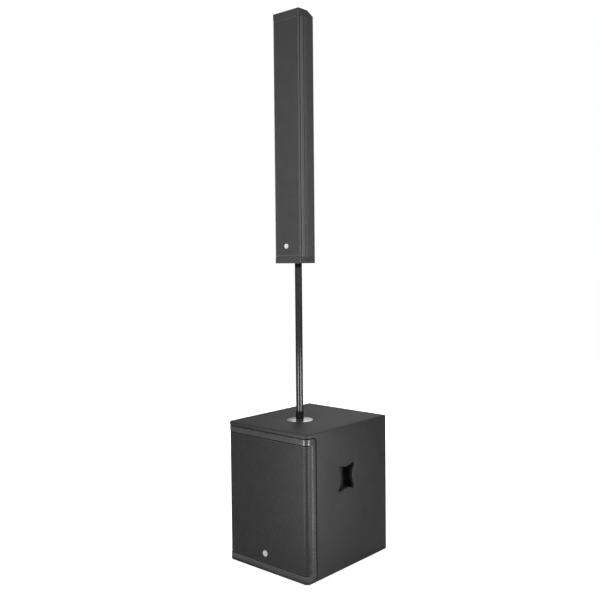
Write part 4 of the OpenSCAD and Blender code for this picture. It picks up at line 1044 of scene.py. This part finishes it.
def stage_floor():
    """White floor: the camera sees it evenly lit, the object only gets its dimmer reflection."""
    mesh = bpy.data.meshes.new("floor")
    reach = 60.0
    corners = [(-reach, -reach, 0), (reach, -reach, 0), (reach, reach, 0), (-reach, reach, 0)]
    mesh.from_pydata(corners, [], [(0, 1, 2, 3)])
    floor = bpy.data.objects.new("floor", mesh)
    bpy.context.scene.collection.objects.link(floor)
    f = Finish("pale_floor", (0.60, 0.60, 0.60), 0.8, specular=0.1)
    f.tint(f.grain(0.5, 2), 0.98, 1.02)
    glow = f.nodes.new("ShaderNodeEmission")
    path = f.nodes.new("ShaderNodeLightPath")
    strength = f.node("ShaderNodeMath", Value=path.outputs["Is Camera Ray"])
    strength.operation = "MULTIPLY"
    strength.inputs[1].default_value = 0.93
    f.links.new(strength.outputs[0], glow.inputs["Strength"])
    both = f.nodes.new("ShaderNodeAddShader")
    f.links.new(f.bsdf.outputs[0], both.inputs[0])
    f.links.new(glow.outputs[0], both.inputs[1])
    f.links.new(both.outputs[0], f.nodes["Material Output"].inputs["Surface"])
    mesh.materials.append(f.mat)


def softbox(name, place, target, width, height, power, shine=True, fill=True):
    """Area light out of the camera's sight; shine lights gloss, fill lights matt colour."""
    data = bpy.data.lights.new(name, "AREA")
    data.shape = "RECTANGLE"
    data.size = width
    data.size_y = height
    data.energy = power
    box = bpy.data.objects.new(name, data)
    box.location = place
    box.rotation_euler = (Vector(target) - Vector(place)).to_track_quat("-Z", "Y").to_euler()
    box.visible_camera = False
    box.visible_glossy = shine
    box.visible_diffuse = fill
    bpy.context.scene.collection.objects.link(box)


def studio_world():
    """White backdrop for the camera, a dimmer even glow for everything else."""
    world = bpy.data.worlds.new("studio")
    bpy.context.scene.world = world
    world.use_nodes = True
    nodes, links = world.node_tree.nodes, world.node_tree.links
    seen = nodes["Background"]
    seen.inputs["Color"].default_value = (1, 1, 1, 1)
    seen.inputs["Strength"].default_value = 1.0
    glow = nodes.new("ShaderNodeBackground")
    glow.inputs["Color"].default_value = (1, 1, 1, 1)
    glow.inputs["Strength"].default_value = 0.13
    path = nodes.new("ShaderNodeLightPath")
    pick = nodes.new("ShaderNodeMixShader")
    links.new(path.outputs["Is Camera Ray"], pick.inputs["Fac"])
    links.new(glow.outputs[0], pick.inputs[1])
    links.new(seen.outputs[0], pick.inputs[2])
    links.new(pick.outputs[0], nodes["World Output"].inputs["Surface"])


def studio_camera():
    """The photographed view: from the front right, a little above the pole's middle."""
    yaw, pitch, roll = (math.radians(a) for a in (41.71, 2.94, -0.54))
    place = (2.531, -2.891, 1.487)
    ahead = Vector((-math.sin(yaw), math.cos(yaw), 0))
    look = ahead * math.cos(pitch) - Vector((0, 0, 1)) * math.sin(pitch)
    level = look.cross(Vector((0, 0, 1))).normalized()
    upright = level.cross(look)
    right = level * math.cos(roll) + upright * math.sin(roll)
    up = upright * math.cos(roll) - level * math.sin(roll)
    data = bpy.data.cameras.new("camera")
    data.sensor_width = 36.0
    data.lens = 46.52
    data.clip_end = 200.0
    cam = bpy.data.objects.new("camera", data)
    turn = Matrix((right, up, -look)).transposed()
    cam.matrix_world = Matrix.Translation(place) @ turn.to_4x4()
    bpy.context.scene.collection.objects.link(cam)
    bpy.context.scene.camera = cam


def studio():
    """Strips mirrored in the pole, soft lights for the matt faces, and the backdrop."""
    studio_world()
    stage_floor()
    pole = (0.0, -0.06, 0.45)
    softbox("front_strip", (0.08, -0.88, 0.45), pole, 0.26, 0.90, 10, fill=False)
    softbox("side_strip", (0.87, -0.10, 0.45), pole, 0.26, 0.90, 12, fill=False)
    column = (0.0, -0.06, 1.8)
    softbox("front_fill", (0.4, -2.1, 1.8), column, 1.0, 0.8, 62, shine=False)
    softbox("side_fill", (2.1, -0.3, 1.7), column, 1.0, 0.8, 44, shine=False)
    softbox("top_box", (-0.6, 0.9, 5.2), (0, 0, 0), 2.5, 2.5, 15)
    softbox("back_box", (-3.0, 4.2, 3.4), (0, 0, 1.2), 2.0, 2.0, 30)
    softbox("back_fill", (-1.9, 3.4, 1.8), (0, 0, 1.2), 1.6, 1.6, 150, shine=False)
    studio_camera()
    bpy.context.scene.view_settings.view_transform = "Standard"


dress_frame()
painted_cabinet()
softened_pieces()
pole_shaft()
pole_end_plug()
turned_socket()
threaded_stud()
badges()
panel_print()
sub_grille()
column_grille()
studio()
